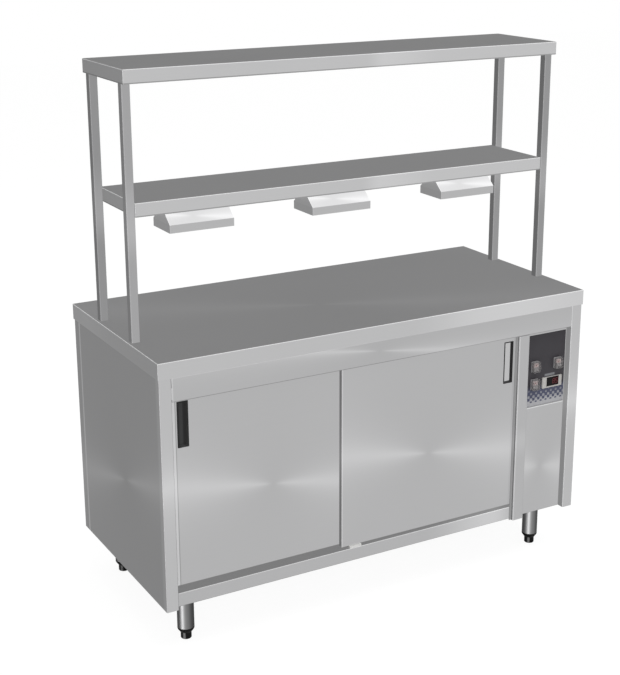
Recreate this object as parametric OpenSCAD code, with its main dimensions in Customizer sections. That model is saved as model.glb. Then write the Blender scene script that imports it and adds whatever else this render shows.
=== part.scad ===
// Plate warmer cabinet: folded steel body with sliding doors, and a lamp gantry on its worktop.
// Millimetres. The origin is on the floor under the middle of the worktop.
// +Z is up, the doors face -Y, and the control bay is at +X.

/* [Worktop] */
// Width of the worktop, side to side
worktop_w = 1472; // [1300:1:1800]
// Depth of the worktop, front to back
worktop_d = 667; // [620:1:760]
// Height of the worktop above the floor
worktop_h = 900; // [860:1:960]
// Depth of the worktop's folded edge
worktop_edge = 48; // [36:1:60]
// Sheet thickness of the worktop
worktop_sheet = 1.5; // [1.2:0.1:2]
// Width of the lip folded in under the worktop's edge
worktop_lip = 25; // [15:1:30]
// Width of each stiffener under the worktop
stiffener_w = 70; // [50:1:90]

/* [Body] */
// How far the body stands in from the worktop's edge
body_inset = 3; // [1:0.5:8]
// Height of the body's underside above the floor
body_z = 150; // [130:1:170]
// Sheet thickness of the body panels
sheet = 1.2; // [0.9:0.1:1.5]
// Outer radius of a fold
fold_r = 3; // [2:0.5:4]
// Width of the stile at each side of the front
side_stile_w = 37.5; // [30:0.5:45]
// Width of the stile between the doors and the control bay
centre_stile_w = 40; // [34:0.5:46]
// Width of the control bay between its stiles
bay_w = 166.5; // [150:0.5:200]
// Height of the header rail above the doors
header_h = 71; // [66:1:84]
// Depth of the return under the header rail
header_return = 18; // [12:1:20]
// Height of the rail below the doors
sill_h = 42; // [36:1:50]
// How far the sill is set back from the stiles
sill_recess = 17; // [14:1:20]
// Length of the sill's return under the body
sill_return = 32; // [20:1:40]
// Width of the back panel's return on each side
back_return = 40; // [25:1:60]
// Width of the flange beside the right-hand door
jamb_flange = 8; // [6:1:12]
// How far the flange stands back from the stile
jamb_recess = 10; // [8:1:12]
// Width of the seam between two panels
seam = 0.4; // [0.2:0.1:0.8]

/* [Doors] */
// How far the doors overlap when both are shut
door_overlap = 107.8; // [60:0.1:140]
// Thickness of a door
door_t = 20; // [18:0.5:21]
// Depth of a door's outer pan, the rest being its inner pan
door_pan = 15; // [13:0.5:16]
// How far the inner pan is set in from the door's edges
door_step = 8; // [6:1:12]
// Width of the lip behind the outer pan
door_lip = 12; // [9:1:16]
// Sheet thickness of the doors
door_sheet = 1; // [0.8:0.1:1.2]
// How far the front door's face is set back from the stiles
door_recess = 26; // [24:0.5:30]
// Distance from one door track to the other
track_pitch = 24; // [23:0.5:28]
// Gap between the sill and a door
door_lift = 5; // [4:0.5:8]
// How far a door reaches up behind the header rail
door_rise = 22; // [15:1:26]
// How far the front door's end goes in behind the centre stile
door_tuck = 8; // [4:0.5:14]
// Width of the jamb that the rear door closes against
left_jamb_w = 20; // [16:1:30]

/* [Door pulls] */
// Width of a pull's frame
pull_w = 35; // [30:1:45]
// Height of a pull's frame
pull_h = 138; // [110:1:180]
// Distance from the pull's frame to the door's end
pull_edge = 13; // [12:1:40]
// Distance from the pull's frame to the door's top
pull_down = 42; // [30:1:120]
// Width of the pull's frame round its recess
pull_rim = 3; // [2:0.5:5]
// How far the frame stands proud of the door
pull_proud = 1.5; // [1:0.5:2.5]
// Depth of the recess behind the door's face
pull_depth = 11.5; // [8:0.5:12]
// Wall of the recess
pull_wall = 1.5; // [1:0.1:2]

/* [Door gear] */
// Radius of a hanger wheel
wheel_r = 9; // [7:0.5:9.5]
// Width of a hanger wheel
wheel_w = 6; // [4:0.5:7]
// Radius of a hanger wheel's axle
axle_r = 2.5; // [2:0.25:3]
// Thickness of a hanger plate
hanger_t = 3; // [2:0.5:4]
// Length of a hanger along the door
hanger_l = 34; // [24:1:50]
// Distance from a hanger's middle to the door's end
hanger_edge = 60; // [40:1:120]
// Wall of the top track
track_wall = 1.6; // [1.2:0.1:2]
// Thickness of the lips that the wheels run on
track_lip = 2; // [1.5:0.1:3]
// Height of the top track
track_h = 25; // [24:0.5:27]
// Width of the slot that the hangers pass through
track_slot = 6; // [5.5:0.25:8]
// Length of the guide block at the sill
guide_l = 41; // [30:1:60]
// Middle of the guide block, measured from the left end of the front door
guide_at = 45; // [35:1:75]
// Height of the guide block's fins
guide_h = 8; // [7:0.5:10]
// Length of a rubber buffer at the track's ends
buffer_l = 10; // [6:1:14]

/* [Control bay] */
// How far the bay's covers are set back from the stiles
bay_recess = 22; // [16:0.5:26]
// Height of the control panel below the header rail
panel_h = 258; // [248:1:320]
// Depth of the folded edges of the bay's covers
cover_fold = 14; // [10:1:20]
// How far the control panel reaches up behind the header rail
panel_rise = 40; // [25:1:50]
// Distance from the panel's lower edge to the label
label_up = 3; // [2:0.5:8]
// Width of the printed label
label_w = 157; // [130:1:160]
// Height of the printed label
label_h = 242; // [225:1:250]
// Thickness of the label
label_t = 0.6; // [0.4:0.1:1]
// Width of a switch frame
switch_w = 28; // [26:0.5:32]
// Height of a switch frame
switch_h = 35; // [32:0.5:38]
// Thickness of a switch frame in front of the label
switch_t = 4; // [3:0.5:5]
// Width of the rim round each rocker
switch_rim = 3.2; // [2.5:0.1:4]
// Middle of the left-hand switches, from the middle of the bay
switch_left = -42.5; // [-50:0.5:-36]
// Middle of the right-hand switch, from the middle of the bay
switch_right = 48; // [42:1:56]
// Height of the upper switches above the label's bottom
switch_high = 136; // [125:1:150]
// Height of the lower switch above the label's bottom
switch_low = 76; // [64:1:86]
// Angle that a rocker tips through
rocker_tip = 18; // [12:1:20]
// Width of the controller's bezel
bezel_w = 79; // [72:0.5:84]
// Height of the controller's bezel
bezel_h = 36.5; // [34:0.5:40]
// Thickness of the controller's bezel
bezel_t = 4; // [3:0.5:6]
// Middle of the controller, from the middle of the bay
bezel_x = 28; // [24:0.5:36]
// Height of the controller's middle above the label's bottom
bezel_z = 74; // [66:1:90]
// Width of the display window
window_w = 49; // [40:1:56]
// Height of the display window
window_h = 31; // [26:0.5:33]
// Distance from the bezel's left edge to the window
window_left = 17; // [10:0.5:20]

/* [Cupboard inside] */
// Thickness of the insulation at the sides and back
insulation_t = 30; // [20:1:40]
// Sheet thickness of the lining
lining = 1; // [0.8:0.1:1.2]
// Gap between the rear door and the front of the lining
lining_gap = 4; // [3:0.5:8]
// Height of the inner shelf above the sill
shelf_up = 298; // [240:1:380]
// Depth of the inner shelf's folded edges
shelf_edge = 24; // [18:1:36]
// Gap between the inner shelf and the lining at each end
shelf_gap = 3; // [2:0.5:5]
// Width of a shelf support angle
angle_w = 24; // [18:1:34]
// Length of a ventilation slot
slot_l = 40; // [30:1:60]
// Width of a ventilation slot
slot_w = 6; // [4:0.5:8]
// Distance from one ventilation slot to the next
slot_pitch = 90; // [60:1:120]
// Distance from the shelf's edge to its outer rows of slots
slot_in = 60; // [40:1:100]
// Radius of a heating element's tube
element_r = 4; // [3:0.25:5]
// Distance between the two runs of an element
element_gap = 70; // [50:2:100]
// Distance from one element to the other, middle to middle
element_pitch = 220; // [180:2:260]
// Height of the elements above the lining floor
element_up = 14; // [10:1:20]
// Height of the element guard above the lining floor
guard_up = 34; // [28:1:44]
// Depth of the element guard, front to back
guard_d = 420; // [380:2:480]

/* [Legs] */
// Radius of a leg tube
leg_r = 25.4; // [22:0.1:30]
// Wall of a leg tube
leg_wall = 1.5; // [1.2:0.1:2]
// Distance from the body's side to a leg's middle
leg_in_x = 97; // [70:1:130]
// Distance from the body's front to a front leg's middle
leg_in_front = 95; // [70:1:130]
// Distance from the body's back to a rear leg's middle
leg_in_back = 71; // [60:1:110]
// Height of the black fitting's shoulder above the floor
leg_end_z = 38; // [34:1:46]
// Height of a foot below its fitting
foot_h = 30; // [26:1:34]
// Radius of a foot
foot_r = 16.25; // [14:0.25:20]
// Radius of a foot's threaded stud
foot_stud_r = 8; // [6:0.5:9]
// How much of a foot's stud stays in its fitting when it is screwed out
foot_grip = 17; // [12:1:20]
// How far a foot screws out
foot_travel = 25; // [15:1:25]

/* [Gantry] */
// Width of a post
post_w = 25; // [20:1:30]
// Wall of a post
post_wall = 1.5; // [1.2:0.1:2]
// Distance from the posts' outer faces to the worktop's edge
post_in = 9.5; // [8:0.5:40]
// Depth over the front and back posts
post_span = 268.7; // [240:0.1:300]
// How far the middle of the gantry lies behind the worktop's middle
gantry_back = 4.35; // [0:0.05:20]
// Height of the upper shelf's top above the worktop
upper_shelf_up = 768.5; // [700:0.5:850]
// Height of the lower shelf's top above the worktop
lower_shelf_up = 399.4; // [360:0.1:440]
// Depth of a gantry shelf's folded edge
gantry_edge = 40; // [30:1:50]
// Width of the lip under a gantry shelf's edge
gantry_lip = 12; // [8:1:16]
// How far the upper shelf reaches past the posts, front and back
upper_over_y = 20; // [10:0.5:40]
// How far the upper shelf reaches past the posts at each end
upper_over_x = 2; // [1.6:0.1:4]
// Gap between the lower shelf and a post
shelf_post_gap = 0.9; // [0.3:0.1:1.5]
// Width of the square flange under each post
flange_w = 60; // [50:1:70]
// Thickness of the flange under each post
flange_t = 5; // [4:0.5:8]

/* [Heat lamps] */
// Length of a lamp housing
lamp_l = 204; // [180:1:260]
// Depth of a lamp housing, front to back
lamp_d = 119.4; // [110:0.2:130]
// How far the lamps' middle lies in front of the gantry's middle
lamp_front = 2.15; // [0:0.05:10]
// Height of a lamp housing's bottom above the worktop
lamp_up = 283; // [260:1:290]
// Height of a lamp housing's upright band
lamp_band = 24; // [18:1:30]
// Height of a lamp housing's sloped part
lamp_slope_h = 32; // [26:1:34]
// Angle of a lamp housing's slope above level
lamp_slope = 40; // [36:1:46]
// Distance from one lamp to the next, middle to middle
lamp_pitch = 466.7; // [300:0.1:480]
// Radius of a lamp's quartz tube
lamp_tube_r = 6; // [4.5:0.5:7]
// Radius of a guard wire
wire_r = 1.5; // [1:0.25:2]

/* [Hidden] */
$fn = 48;

// Clearances: between pieces that move past each other, in a turning fit, and in a loose hole
run_gap = 0.3;
fit_gap = 0.05;
hole_gap = 0.5;

// Main planes of the body
under_top_z = worktop_h - worktop_edge;
side_x = worktop_w / 2 - body_inset;
front_y = -worktop_d / 2 + body_inset;
back_y = worktop_d / 2 - body_inset;
header_z = under_top_z - header_h;
sill_z = body_z + sill_h;
sill_y = front_y + sill_recess;
open_left = -side_x + side_stile_w;
bay_right = side_x - side_stile_w;
bay_left = bay_right - bay_w;
open_right = bay_left - centre_stile_w;
bay_mid = (bay_left + bay_right) / 2;
bay_y = front_y + bay_recess;

// Doors: the left one runs in the rear track
door_z = sill_z + door_lift;
door_top = header_z + door_rise;
front_door_y = front_y + door_recess;
rear_door_y = front_door_y + track_pitch;
left_door_x = open_left + left_jamb_w + run_gap;
door_w = (open_right + door_tuck - left_door_x + door_overlap) / 2;
right_door_x = open_right + door_tuck - door_w;

// Lining and insulation
lining_y = rear_door_y + door_t + lining_gap;
lining_left = -side_x + sheet + insulation_t;
partition_x = bay_left;
lining_right = partition_x - sheet - insulation_t;
lining_back = back_y - sheet - insulation_t;
lining_top = door_top + lining;
floor_z = sill_z - sheet;

// Top track, hung from the header's top flange
track_top = under_top_z - sheet;
track_z = track_top - track_h;
wheel_z = track_z + track_lip + run_gap + wheel_r;
wheel_in = hanger_t / 2 + 2 * run_gap;
track_left = open_left + left_jamb_w;
track_right = bay_left - sheet;
track_inner = track_pitch - track_wall;

// Gantry
post_x = worktop_w / 2 - post_in - post_w / 2;
post_y = post_span / 2 - post_w / 2;
upper_z = worktop_h + upper_shelf_up;
lower_z = worktop_h + lower_shelf_up;
lamp_y = gantry_back - lamp_front;
lamp_z = worktop_h + lamp_up;
lamp_top_z = lamp_z + lamp_band + lamp_slope_h;
bracket_top_z = lower_z - gantry_edge;

// Legs
leg_x = side_x - leg_in_x;
leg_front_y = front_y + leg_in_front;
leg_rear_y = back_y - leg_in_back;
doubler_t = 4;
doubler_w = 110;
stud_r = 6;
nut_r = 10.8;
nut_h = 9;
nut_room = 2;
foot_stud_l = foot_travel + foot_grip;

// ---------------------------------------------------------------- shared shapes

module block(low, high) translate(low) cube(high - low);

module along_x(x0, x1) translate([x0, 0, 0]) rotate([90, 0, 90]) linear_extrude(x1 - x0) children();

module along_y(y0, y1) translate([0, y1, 0]) rotate([90, 0, 0]) linear_extrude(y1 - y0) children();

module along_z(z0, z1) translate([0, 0, z0]) linear_extrude(z1 - z0) children();

// A bar from one point along an axis, for bolts, tubes and bores
module rod(at, dir, r, l) {
    turn = dir == "x" ? [0, 90, 0] : dir == "y" ? [-90, 0, 0] : [0, 0, 0];
    translate(at) rotate(turn) cylinder(r = r, h = l);
}

module rounded_rect(low, high, r) {
    for (x = [low[0] + r, high[0] - r], y = [low[1] + r, high[1] - r]) translate([x, y]) circle(r);
    translate([low[0] + r, low[1]]) square([high[0] - low[0] - 2 * r, high[1] - low[1]]);
    translate([low[0], low[1] + r]) square([high[0] - low[0], high[1] - low[1] - 2 * r]);
}

function unit(v) = v / norm(v);

// Section of a sheet folded at right angles: the points are the corners of its middle line
module folded(points, t, r = fold_r) {
    bend = r - t / 2;
    last = len(points) - 1;
    for (i = [0 : last - 1]) {
        way = unit(points[i + 1] - points[i]);
        side = [-way[1], way[0]] * t / 2;
        from = points[i] + (i == 0 ? 0 : bend) * way;
        to = points[i + 1] - (i == last - 1 ? 0 : bend) * way;
        polygon([from - side, to - side, to + side, from + side]);
    }
    for (i = [1 : 1 : last - 1]) {
        into = unit(points[i] - points[i - 1]);
        away = unit(points[i + 1] - points[i]);
        translate(points[i] + bend * (away - into)) intersection() {
            difference() {
                circle(r);
                circle(r - t);
            }
            polygon([[0, 0], into * 2 * r, (into - away) * 2 * r, -away * 2 * r]);
        }
    }
}

// A pan folded from one sheet, open underneath, with a lip turned in below each edge
module top_pan(low, high, t, lip, r = fold_r) {
    difference() {
        intersection() {
            along_z(low[2], high[2]) rounded_rect([low[0], low[1]], [high[0], high[1]], r);
            along_x(low[0], high[0]) rounded_rect([low[1], low[2] - r], [high[1], high[2]], r);
            along_y(low[1], high[1]) rounded_rect([low[0], low[2] - r], [high[0], high[2]], r);
        }
        block(low + [t, t, t], high - [t, t, t]);
        block([low[0] + lip, low[1] + lip, low[2] - t], [high[0] - lip, high[1] - lip, low[2] + 2 * t]);
    }
}

// A cover folded from one sheet: its face is at low y and its edges turn back
module front_pan(low, high, t, r = fold_r) {
    difference() {
        intersection() {
            along_y(low[1], high[1]) rounded_rect([low[0], low[2]], [high[0], high[2]], r);
            along_x(low[0], high[0]) rounded_rect([low[1], low[2]], [high[1] + r, high[2]], r);
            along_z(low[2], high[2]) rounded_rect([low[0], low[1]], [high[0], high[1] + r], r);
        }
        block(low + [t, t, t], [high[0] - t, high[1] + t, high[2] - t]);
    }
}

// A row of ventilation slots along X, cut through a level sheet
module slot_row(x0, x1, y, z, depth) {
    count = floor((x1 - x0 - slot_l) / slot_pitch);
    start = (x0 + x1) / 2 - count * slot_pitch / 2;
    for (i = [0 : count]) translate([start + i * slot_pitch, y, z]) along_z(-depth, depth)
        rounded_rect([-slot_l / 2, -slot_w / 2], [slot_l / 2, slot_w / 2], slot_w / 2 - 0.01);
}

module each_leg() for (x = [-leg_x, leg_x], y = [leg_front_y, leg_rear_y]) translate([x, y, 0]) children();

module each_post() for (x = [-post_x, post_x], y = [-post_y, post_y])
    translate([x, gantry_back + y, 0]) children();

module each_lamp() for (i = [-1 : 1]) translate([i * lamp_pitch, lamp_y, 0]) children();

// ---------------------------------------------------------------- worktop

post_bolt_r = 5;

module worktop() {
    color("silver") difference() {
        top_pan([-worktop_w / 2, -worktop_d / 2, under_top_z], [worktop_w / 2, worktop_d / 2, worktop_h],
            worktop_sheet, worktop_lip);
        each_post()
            rod([0, 0, worktop_h - 2 * worktop_sheet], "z", post_bolt_r + hole_gap, 3 * worktop_sheet);
    }
}

stiffener_z = under_top_z + 1.5 * sheet;
stiffener_top = worktop_h - worktop_sheet - sheet / 2;
stiffener_end = worktop_w / 2 - worktop_lip - 30;
stiffener_flange = 15;

module worktop_stiffeners() {
    color("darkgray") for (y = [-1, 1] * (worktop_d / 2 - worktop_lip - stiffener_w)) {
        along_x(-stiffener_end, stiffener_end) translate([y, 0]) folded([
            [-stiffener_w / 2 - stiffener_flange, stiffener_top],
            [-stiffener_w / 2, stiffener_top],
            [-stiffener_w / 2, stiffener_z],
            [stiffener_w / 2, stiffener_z],
            [stiffener_w / 2, stiffener_top],
            [stiffener_w / 2 + stiffener_flange, stiffener_top]], sheet);
    }
}

// ---------------------------------------------------------------- body panels

base_front = sill_y + sill_return;

// The left panel folds round into its stile, then back and across as the rear door's jamb, which
// stands on the sill and stops under the header's top flange
module side_panel_left() {
    skin = -side_x + sheet / 2;
    inner = open_left - sheet / 2;
    jamb = open_left + left_jamb_w - sheet / 2;
    color("gainsboro") difference() {
        along_z(body_z, under_top_z) folded([
            [skin, back_y - back_return - seam],
            [skin, front_y + sheet / 2],
            [inner, front_y + sheet / 2],
            [inner, rear_door_y - run_gap],
            [jamb, rear_door_y - run_gap],
            [jamb, lining_y - sheet]], sheet);
        for (z = [[body_z - 1, sill_z], [track_top, under_top_z + 1]])
            block([open_left - 2 * fold_r, base_front, z[0]], [jamb + fold_r, lining_y, z[1]]);
    }
}

cover_return = 20;

// The right panel's stile turns back past the control bay's covers
module side_panel_right() {
    skin = side_x - sheet / 2;
    inner = bay_right + sheet / 2;
    color("gainsboro") difference() {
        along_z(body_z, under_top_z) folded([
            [skin, back_y - back_return - seam],
            [skin, front_y + sheet / 2],
            [inner, front_y + sheet / 2],
            [inner, bay_y + cover_fold + cover_return]], sheet);
        block([bay_right - 1, bay_y + cover_fold, body_z - 1], [inner + sheet, lining_y, body_z + sheet]);
    }
}

module back_panel() {
    color("silver") along_z(body_z, under_top_z) folded([
        [-side_x + sheet / 2, back_y - back_return],
        [-side_x + sheet / 2, back_y - sheet / 2],
        [side_x - sheet / 2, back_y - sheet / 2],
        [side_x - sheet / 2, back_y - back_return]], sheet);
}

gland_x = bay_mid;
gland_in = 190;
gland_y = back_y - gland_in;
gland_r = 10;

// The base has a welded doubler over each leg, and a hole for the cable gland
module base_pan() {
    inside = side_x - sheet;
    color("darkgray") difference() {
        union() {
            along_z(body_z, body_z + sheet)
                rounded_rect([-inside, base_front], [inside, back_y - sheet], fold_r - sheet);
            block([bay_left, bay_y + cover_fold, body_z], [inside, base_front + fold_r, body_z + sheet]);
            each_leg() translate([-doubler_w / 2, -doubler_w / 2, body_z + sheet])
                cube([doubler_w, doubler_w, doubler_t]);
        }
        each_leg() rod([0, 0, body_z - sheet], "z", stud_r + hole_gap, 4 * doubler_t);
        rod([gland_x, gland_y, body_z - sheet], "z", gland_r + hole_gap, 3 * sheet);
    }
}

module sill_rail() {
    color("gainsboro") along_x(open_left + seam, bay_left - sheet) folded([
        [lining_y, sill_z - sheet / 2],
        [sill_y + sheet / 2, sill_z - sheet / 2],
        [sill_y + sheet / 2, body_z + sheet / 2],
        [sill_y + sill_return, body_z + sheet / 2]], sheet);
}

// The header hides the doors' tops and carries the track under its top flange
module header_rail() {
    ends = [open_left + seam, bay_right - seam];
    color("gainsboro") intersection() {
        along_x(ends[0], ends[1]) folded([
            [front_y + header_return, header_z + sheet / 2],
            [front_y + sheet / 2, header_z + sheet / 2],
            [front_y + sheet / 2, under_top_z - sheet / 2],
            [lining_y, under_top_z - sheet / 2]], sheet);
        along_z(header_z - 1, under_top_z + 1)
            rounded_rect([ends[0], front_y], [ends[1], lining_y + fold_r], fold_r);
    }
}

module centre_stile() {
    left = open_right + sheet / 2;
    right = bay_left - sheet / 2;
    color("gainsboro") difference() {
        along_z(body_z, header_z - seam) folded([
            [open_right - jamb_flange, front_y + jamb_recess],
            [left, front_y + jamb_recess],
            [left, front_y + sheet / 2],
            [right, front_y + sheet / 2],
            [right, lining_y]], sheet);
        block([left, base_front, body_z - 1], [bay_left + 1, lining_y + 1, body_z + sheet]);
    }
}

probe_r = 3;
probe_in = 80;
probe_up = 120;
probe_y = lining_back - probe_in;
probe_z = sill_z + probe_up;
element_y = [-element_pitch / 2, element_pitch / 2];
element_z = sill_z + element_up;

// Holes that let the elements' ends and the probe through the cupboard's right-hand wall
module wall_holes(gap) {
    from = lining_right - 2 * lining;
    length = insulation_t + 2 * lining + 2 * sheet;
    for (y = element_y, s = [-1, 1])
        rod([from, y + s * element_gap / 2, element_z], "x", element_r + gap, length);
    rod([from, probe_y, probe_z], "x", probe_r + gap, length);
}

module bay_partition() {
    color("darkgray") difference() {
        block([partition_x - sheet, lining_y, body_z + sheet], [partition_x, back_y - sheet, under_top_z]);
        wall_holes(hole_gap);
    }
}

// ---------------------------------------------------------------- cupboard inside

module lining_walls() {
    color("silver") {
        block([lining_left, lining_y, sill_z], [lining_left + lining, lining_back, door_top]);
        difference() {
            block([lining_right - lining, lining_y, sill_z], [lining_right, lining_back, door_top]);
            wall_holes(hole_gap);
        }
        block([lining_left, lining_back, sill_z], [lining_right, lining_back + lining, door_top]);
        along_x(lining_left, lining_right) folded([
            [lining_back + lining, lining_top - lining / 2],
            [lining_y + lining / 2, lining_top - lining / 2],
            [lining_y + lining / 2, track_top]], lining);
    }
}

module lining_floor() {
    color("silver") block([lining_left, lining_y, floor_z], [lining_right, lining_back + lining, sill_z]);
}

// Slabs of mineral wool between the lining and the outer panels
module insulation_slabs() {
    back = lining_back + lining;
    low = body_z + sheet + doubler_t;
    color("khaki") {
        block([-side_x + sheet, lining_y, low], [lining_left, back, under_top_z]);
        difference() {
            block([lining_right, lining_y, low], [partition_x - sheet, back, under_top_z]);
            wall_holes(hole_gap);
        }
        block([-side_x + fold_r, back, low], [partition_x - sheet, back_y - sheet, under_top_z]);
        block([lining_left, lining_y + fold_r, lining_top], [lining_right, back, under_top_z]);
        difference() {
            block([lining_left, lining_y, low], [lining_right, back, floor_z]);
            each_leg() rod([0, 0, low - 1], "z", nut_r + nut_room, nut_h + 2 * nut_room + 1);
        }
    }
}

shelf_z = sill_z + shelf_up;
shelf_x = [lining_left + lining + shelf_gap, lining_right - lining - shelf_gap];
shelf_in_y = 12;
shelf_y = [lining_y + shelf_in_y, lining_back - shelf_in_y];
shelf_lip = 10;

module inner_shelf() {
    color("gainsboro") difference() {
        top_pan([shelf_x[0], shelf_y[0], shelf_z - shelf_edge], [shelf_x[1], shelf_y[1], shelf_z],
            lining, shelf_lip, 2);
        for (y = [shelf_y[0] + slot_in, (shelf_y[0] + shelf_y[1]) / 2, shelf_y[1] - slot_in])
            slot_row(shelf_x[0] + slot_in / 2, shelf_x[1] - slot_in / 2, y, shelf_z, 2 * lining);
    }
}

angle_in = 8;

module shelf_supports() {
    color("darkgray") for (end = [0, 1]) {
        wall = end == 0 ? lining_left + lining : lining_right - lining;
        way = end == 0 ? 1 : -1;
        along_y(shelf_y[0] + angle_in, shelf_y[1] - angle_in) folded([
            [wall + way * angle_w, shelf_z - shelf_edge - sheet / 2],
            [wall + way * sheet / 2, shelf_z - shelf_edge - sheet / 2],
            [wall + way * sheet / 2, shelf_z - shelf_edge - angle_w]], sheet);
    }
}

// The guard stops short of the lining, with more room at the elements' bends
guard_in = [40, 25];
guard_flange = 12;
guard_x = [lining_left + lining + guard_in[0], lining_right - lining - guard_in[1]];

module element_guard() {
    top = sill_z + guard_up;
    half = guard_d / 2;
    color("silver") difference() {
        along_x(guard_x[0], guard_x[1]) folded([
            [-half - guard_flange, sill_z + sheet / 2],
            [-half, sill_z + sheet / 2],
            [-half, top - sheet / 2],
            [half, top - sheet / 2],
            [half, sill_z + sheet / 2],
            [half + guard_flange, sill_z + sheet / 2]], sheet);
        for (i = [-1 : 1])
            slot_row(guard_x[0] + slot_in / 3, guard_x[1] - slot_in / 3, i * guard_d / 3, top, 2 * sheet);
    }
}

// Where an element's ends stop in the control bay, and where its bend begins
element_out = 22;
bend_in = 20;
element_right = partition_x + element_out;
element_left = guard_x[0] + bend_in + element_gap / 2;

// Each element is one hairpin tube; its two ends pass through the wall into the control bay
module heating_elements() {
    saddle_t = 6;
    saddle_in = 10;
    length = element_right - element_left;
    color("dimgray") for (y = element_y) {
        for (s = [-1, 1]) rod([element_left, y + s * element_gap / 2, element_z], "x", element_r, length);
        translate([element_left, y, element_z]) rotate([0, 0, 90])
            rotate_extrude(angle = 180) translate([element_gap / 2, 0]) circle(element_r);
        for (x = [0.12, 0.5, 0.88] * (lining_right - element_left)) difference() {
            block([element_left + x, y - element_gap / 2 - saddle_in, sill_z],
                [element_left + x + saddle_t, y + element_gap / 2 + saddle_in, element_z]);
            translate([element_left + x - 1, y, element_z]) for (s = [-1, 1])
                rod([0, s * element_gap / 2, 0], "x", element_r - 0.2, saddle_t + 2);
        }
    }
}

module temperature_probe() {
    reach = 90;
    tail = 20;
    nut_t = 5;
    nut_wall = 4;
    color("lightgray") {
        rod([lining_right - reach, probe_y, probe_z], "x", probe_r, reach + insulation_t + sheet + tail);
        rod([lining_right - lining - nut_t, probe_y, probe_z], "x", probe_r + nut_wall, nut_t);
    }
}

// ---------------------------------------------------------------- door gear

track_mid = [front_door_y + door_t / 2, rear_door_y + door_t / 2];

module top_track() {
    low = track_mid[0] - track_pitch / 2 - track_wall / 2;
    high = track_mid[1] + track_pitch / 2 + track_wall / 2;
    color("lightgray") along_x(track_left, track_right) difference() {
        translate([low, track_z]) square([high - low, track_h]);
        for (y = track_mid) {
            translate([y - track_inner / 2, track_z + track_lip])
                square([track_inner, track_h - track_lip - track_wall]);
            translate([y - track_slot / 2, track_z - 1]) square([track_slot, track_lip + 2]);
        }
    }
}

function hanger_x(door_x) = [door_x + hanger_edge, door_x + door_w - hanger_edge];

// Rubber blocks at both ends of each track, where the outermost wheel stops
module track_buffers() {
    hold = track_inner - 1;
    low = track_z + track_lip;
    high = track_top - track_wall;
    module buffer(x0, x1, y) block([x0, y - hold / 2, low], [x1, y + hold / 2, high]);
    left_stop = hanger_x(left_door_x)[0] - wheel_r - run_gap;
    right_stop = hanger_x(right_door_x)[1] + wheel_r + run_gap;
    color("black") for (y = track_mid) {
        buffer(left_stop - buffer_l, left_stop, y);
        buffer(right_stop, right_stop + buffer_l, y);
    }
}

// A block on the sill whose three fins keep both doors upright
module door_guide() {
    middle = right_door_x + guide_at;
    base_t = 2;
    fin_t = 6;
    side_gap = run_gap + 0.2;
    back = rear_door_y + door_pan + side_gap;
    color("whitesmoke") difference() {
        block([middle - guide_l / 2, sill_y + 1, sill_z],
            [middle + guide_l / 2, back + fin_t, sill_z + guide_h]);
        for (y = [front_door_y, rear_door_y])
            block([middle - guide_l, y - side_gap, sill_z + base_t],
                [middle + guide_l, y + door_pan + side_gap, sill_z + guide_h + 1]);
    }
}

// ---------------------------------------------------------------- doors

// Opening in a door's face for its pull, and where the pull sits
pull_z = door_top - pull_down - pull_h;
left_pull_x = left_door_x + pull_edge;
right_pull_x = right_door_x + door_w - pull_edge - pull_w;

module pull_hole(x, y, extra) {
    edge = pull_rim - pull_wall - extra;
    block([x + edge, y - 5, pull_z + edge], [x + pull_w - edge, y + door_sheet + 1, pull_z + pull_h - edge]);
}

module door_outer(x, y, pull_x) {
    difference() {
        front_pan([x, y, door_z], [x + door_w, y + door_pan, door_top], door_sheet);
        pull_hole(pull_x, y, 0.1);
    }
    difference() {
        block([x + door_sheet / 2, y + door_pan - door_sheet, door_z + door_sheet / 2],
            [x + door_w - door_sheet / 2, y + door_pan, door_top - door_sheet / 2]);
        block([x + door_lip, y, door_z + door_lip], [x + door_w - door_lip, y + door_t, door_top - door_lip]);
    }
}

module door_inner(x, y) {
    low = [x + door_step, y + door_pan, door_z + door_step];
    high = [x + door_w - door_step, y + door_t, door_top - door_step];
    difference() {
        block(low, high);
        block(low + [door_sheet, -1, door_sheet], high - [door_sheet, door_sheet, door_sheet]);
    }
}

// A flush pull: a frame with a recess behind it
module pull(x, y) {
    low = [x, y - pull_proud, pull_z];
    wall = pull_rim - pull_wall;
    difference() {
        union() {
            intersection() {
                along_y(low[1], y) rounded_rect([x, pull_z], [x + pull_w, pull_z + pull_h], 2);
                along_z(pull_z, pull_z + pull_h) rounded_rect([x, low[1]], [x + pull_w, y + 4], 1);
            }
            block([x + wall, y - 0.5, pull_z + wall], [x + pull_w - wall, y + pull_depth + pull_wall,
                pull_z + pull_h - wall]);
        }
        block(low + [pull_rim, -1, pull_rim],
            [x + pull_w - pull_rim, y + pull_depth, pull_z + pull_h - pull_rim]);
    }
}

// Two hangers on a door's top edge, each with a plate that goes up through the track's slot
module hangers(door_x, mid_y) {
    base = [hanger_l, 13, 3];
    neck_w = 16;
    eye_r = neck_w / 2;
    for (x = hanger_x(door_x)) difference() {
        union() {
            translate([x - base[0] / 2, mid_y - base[1] / 2, door_top]) cube(base);
            block([x - neck_w / 2, mid_y - hanger_t / 2, door_top],
                [x + neck_w / 2, mid_y + hanger_t / 2, wheel_z]);
            rod([x, mid_y - hanger_t / 2, wheel_z], "y", eye_r, hanger_t);
        }
        rod([x, mid_y - hanger_t, wheel_z], "y", axle_r + fit_gap, 2 * hanger_t);
    }
}

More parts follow.
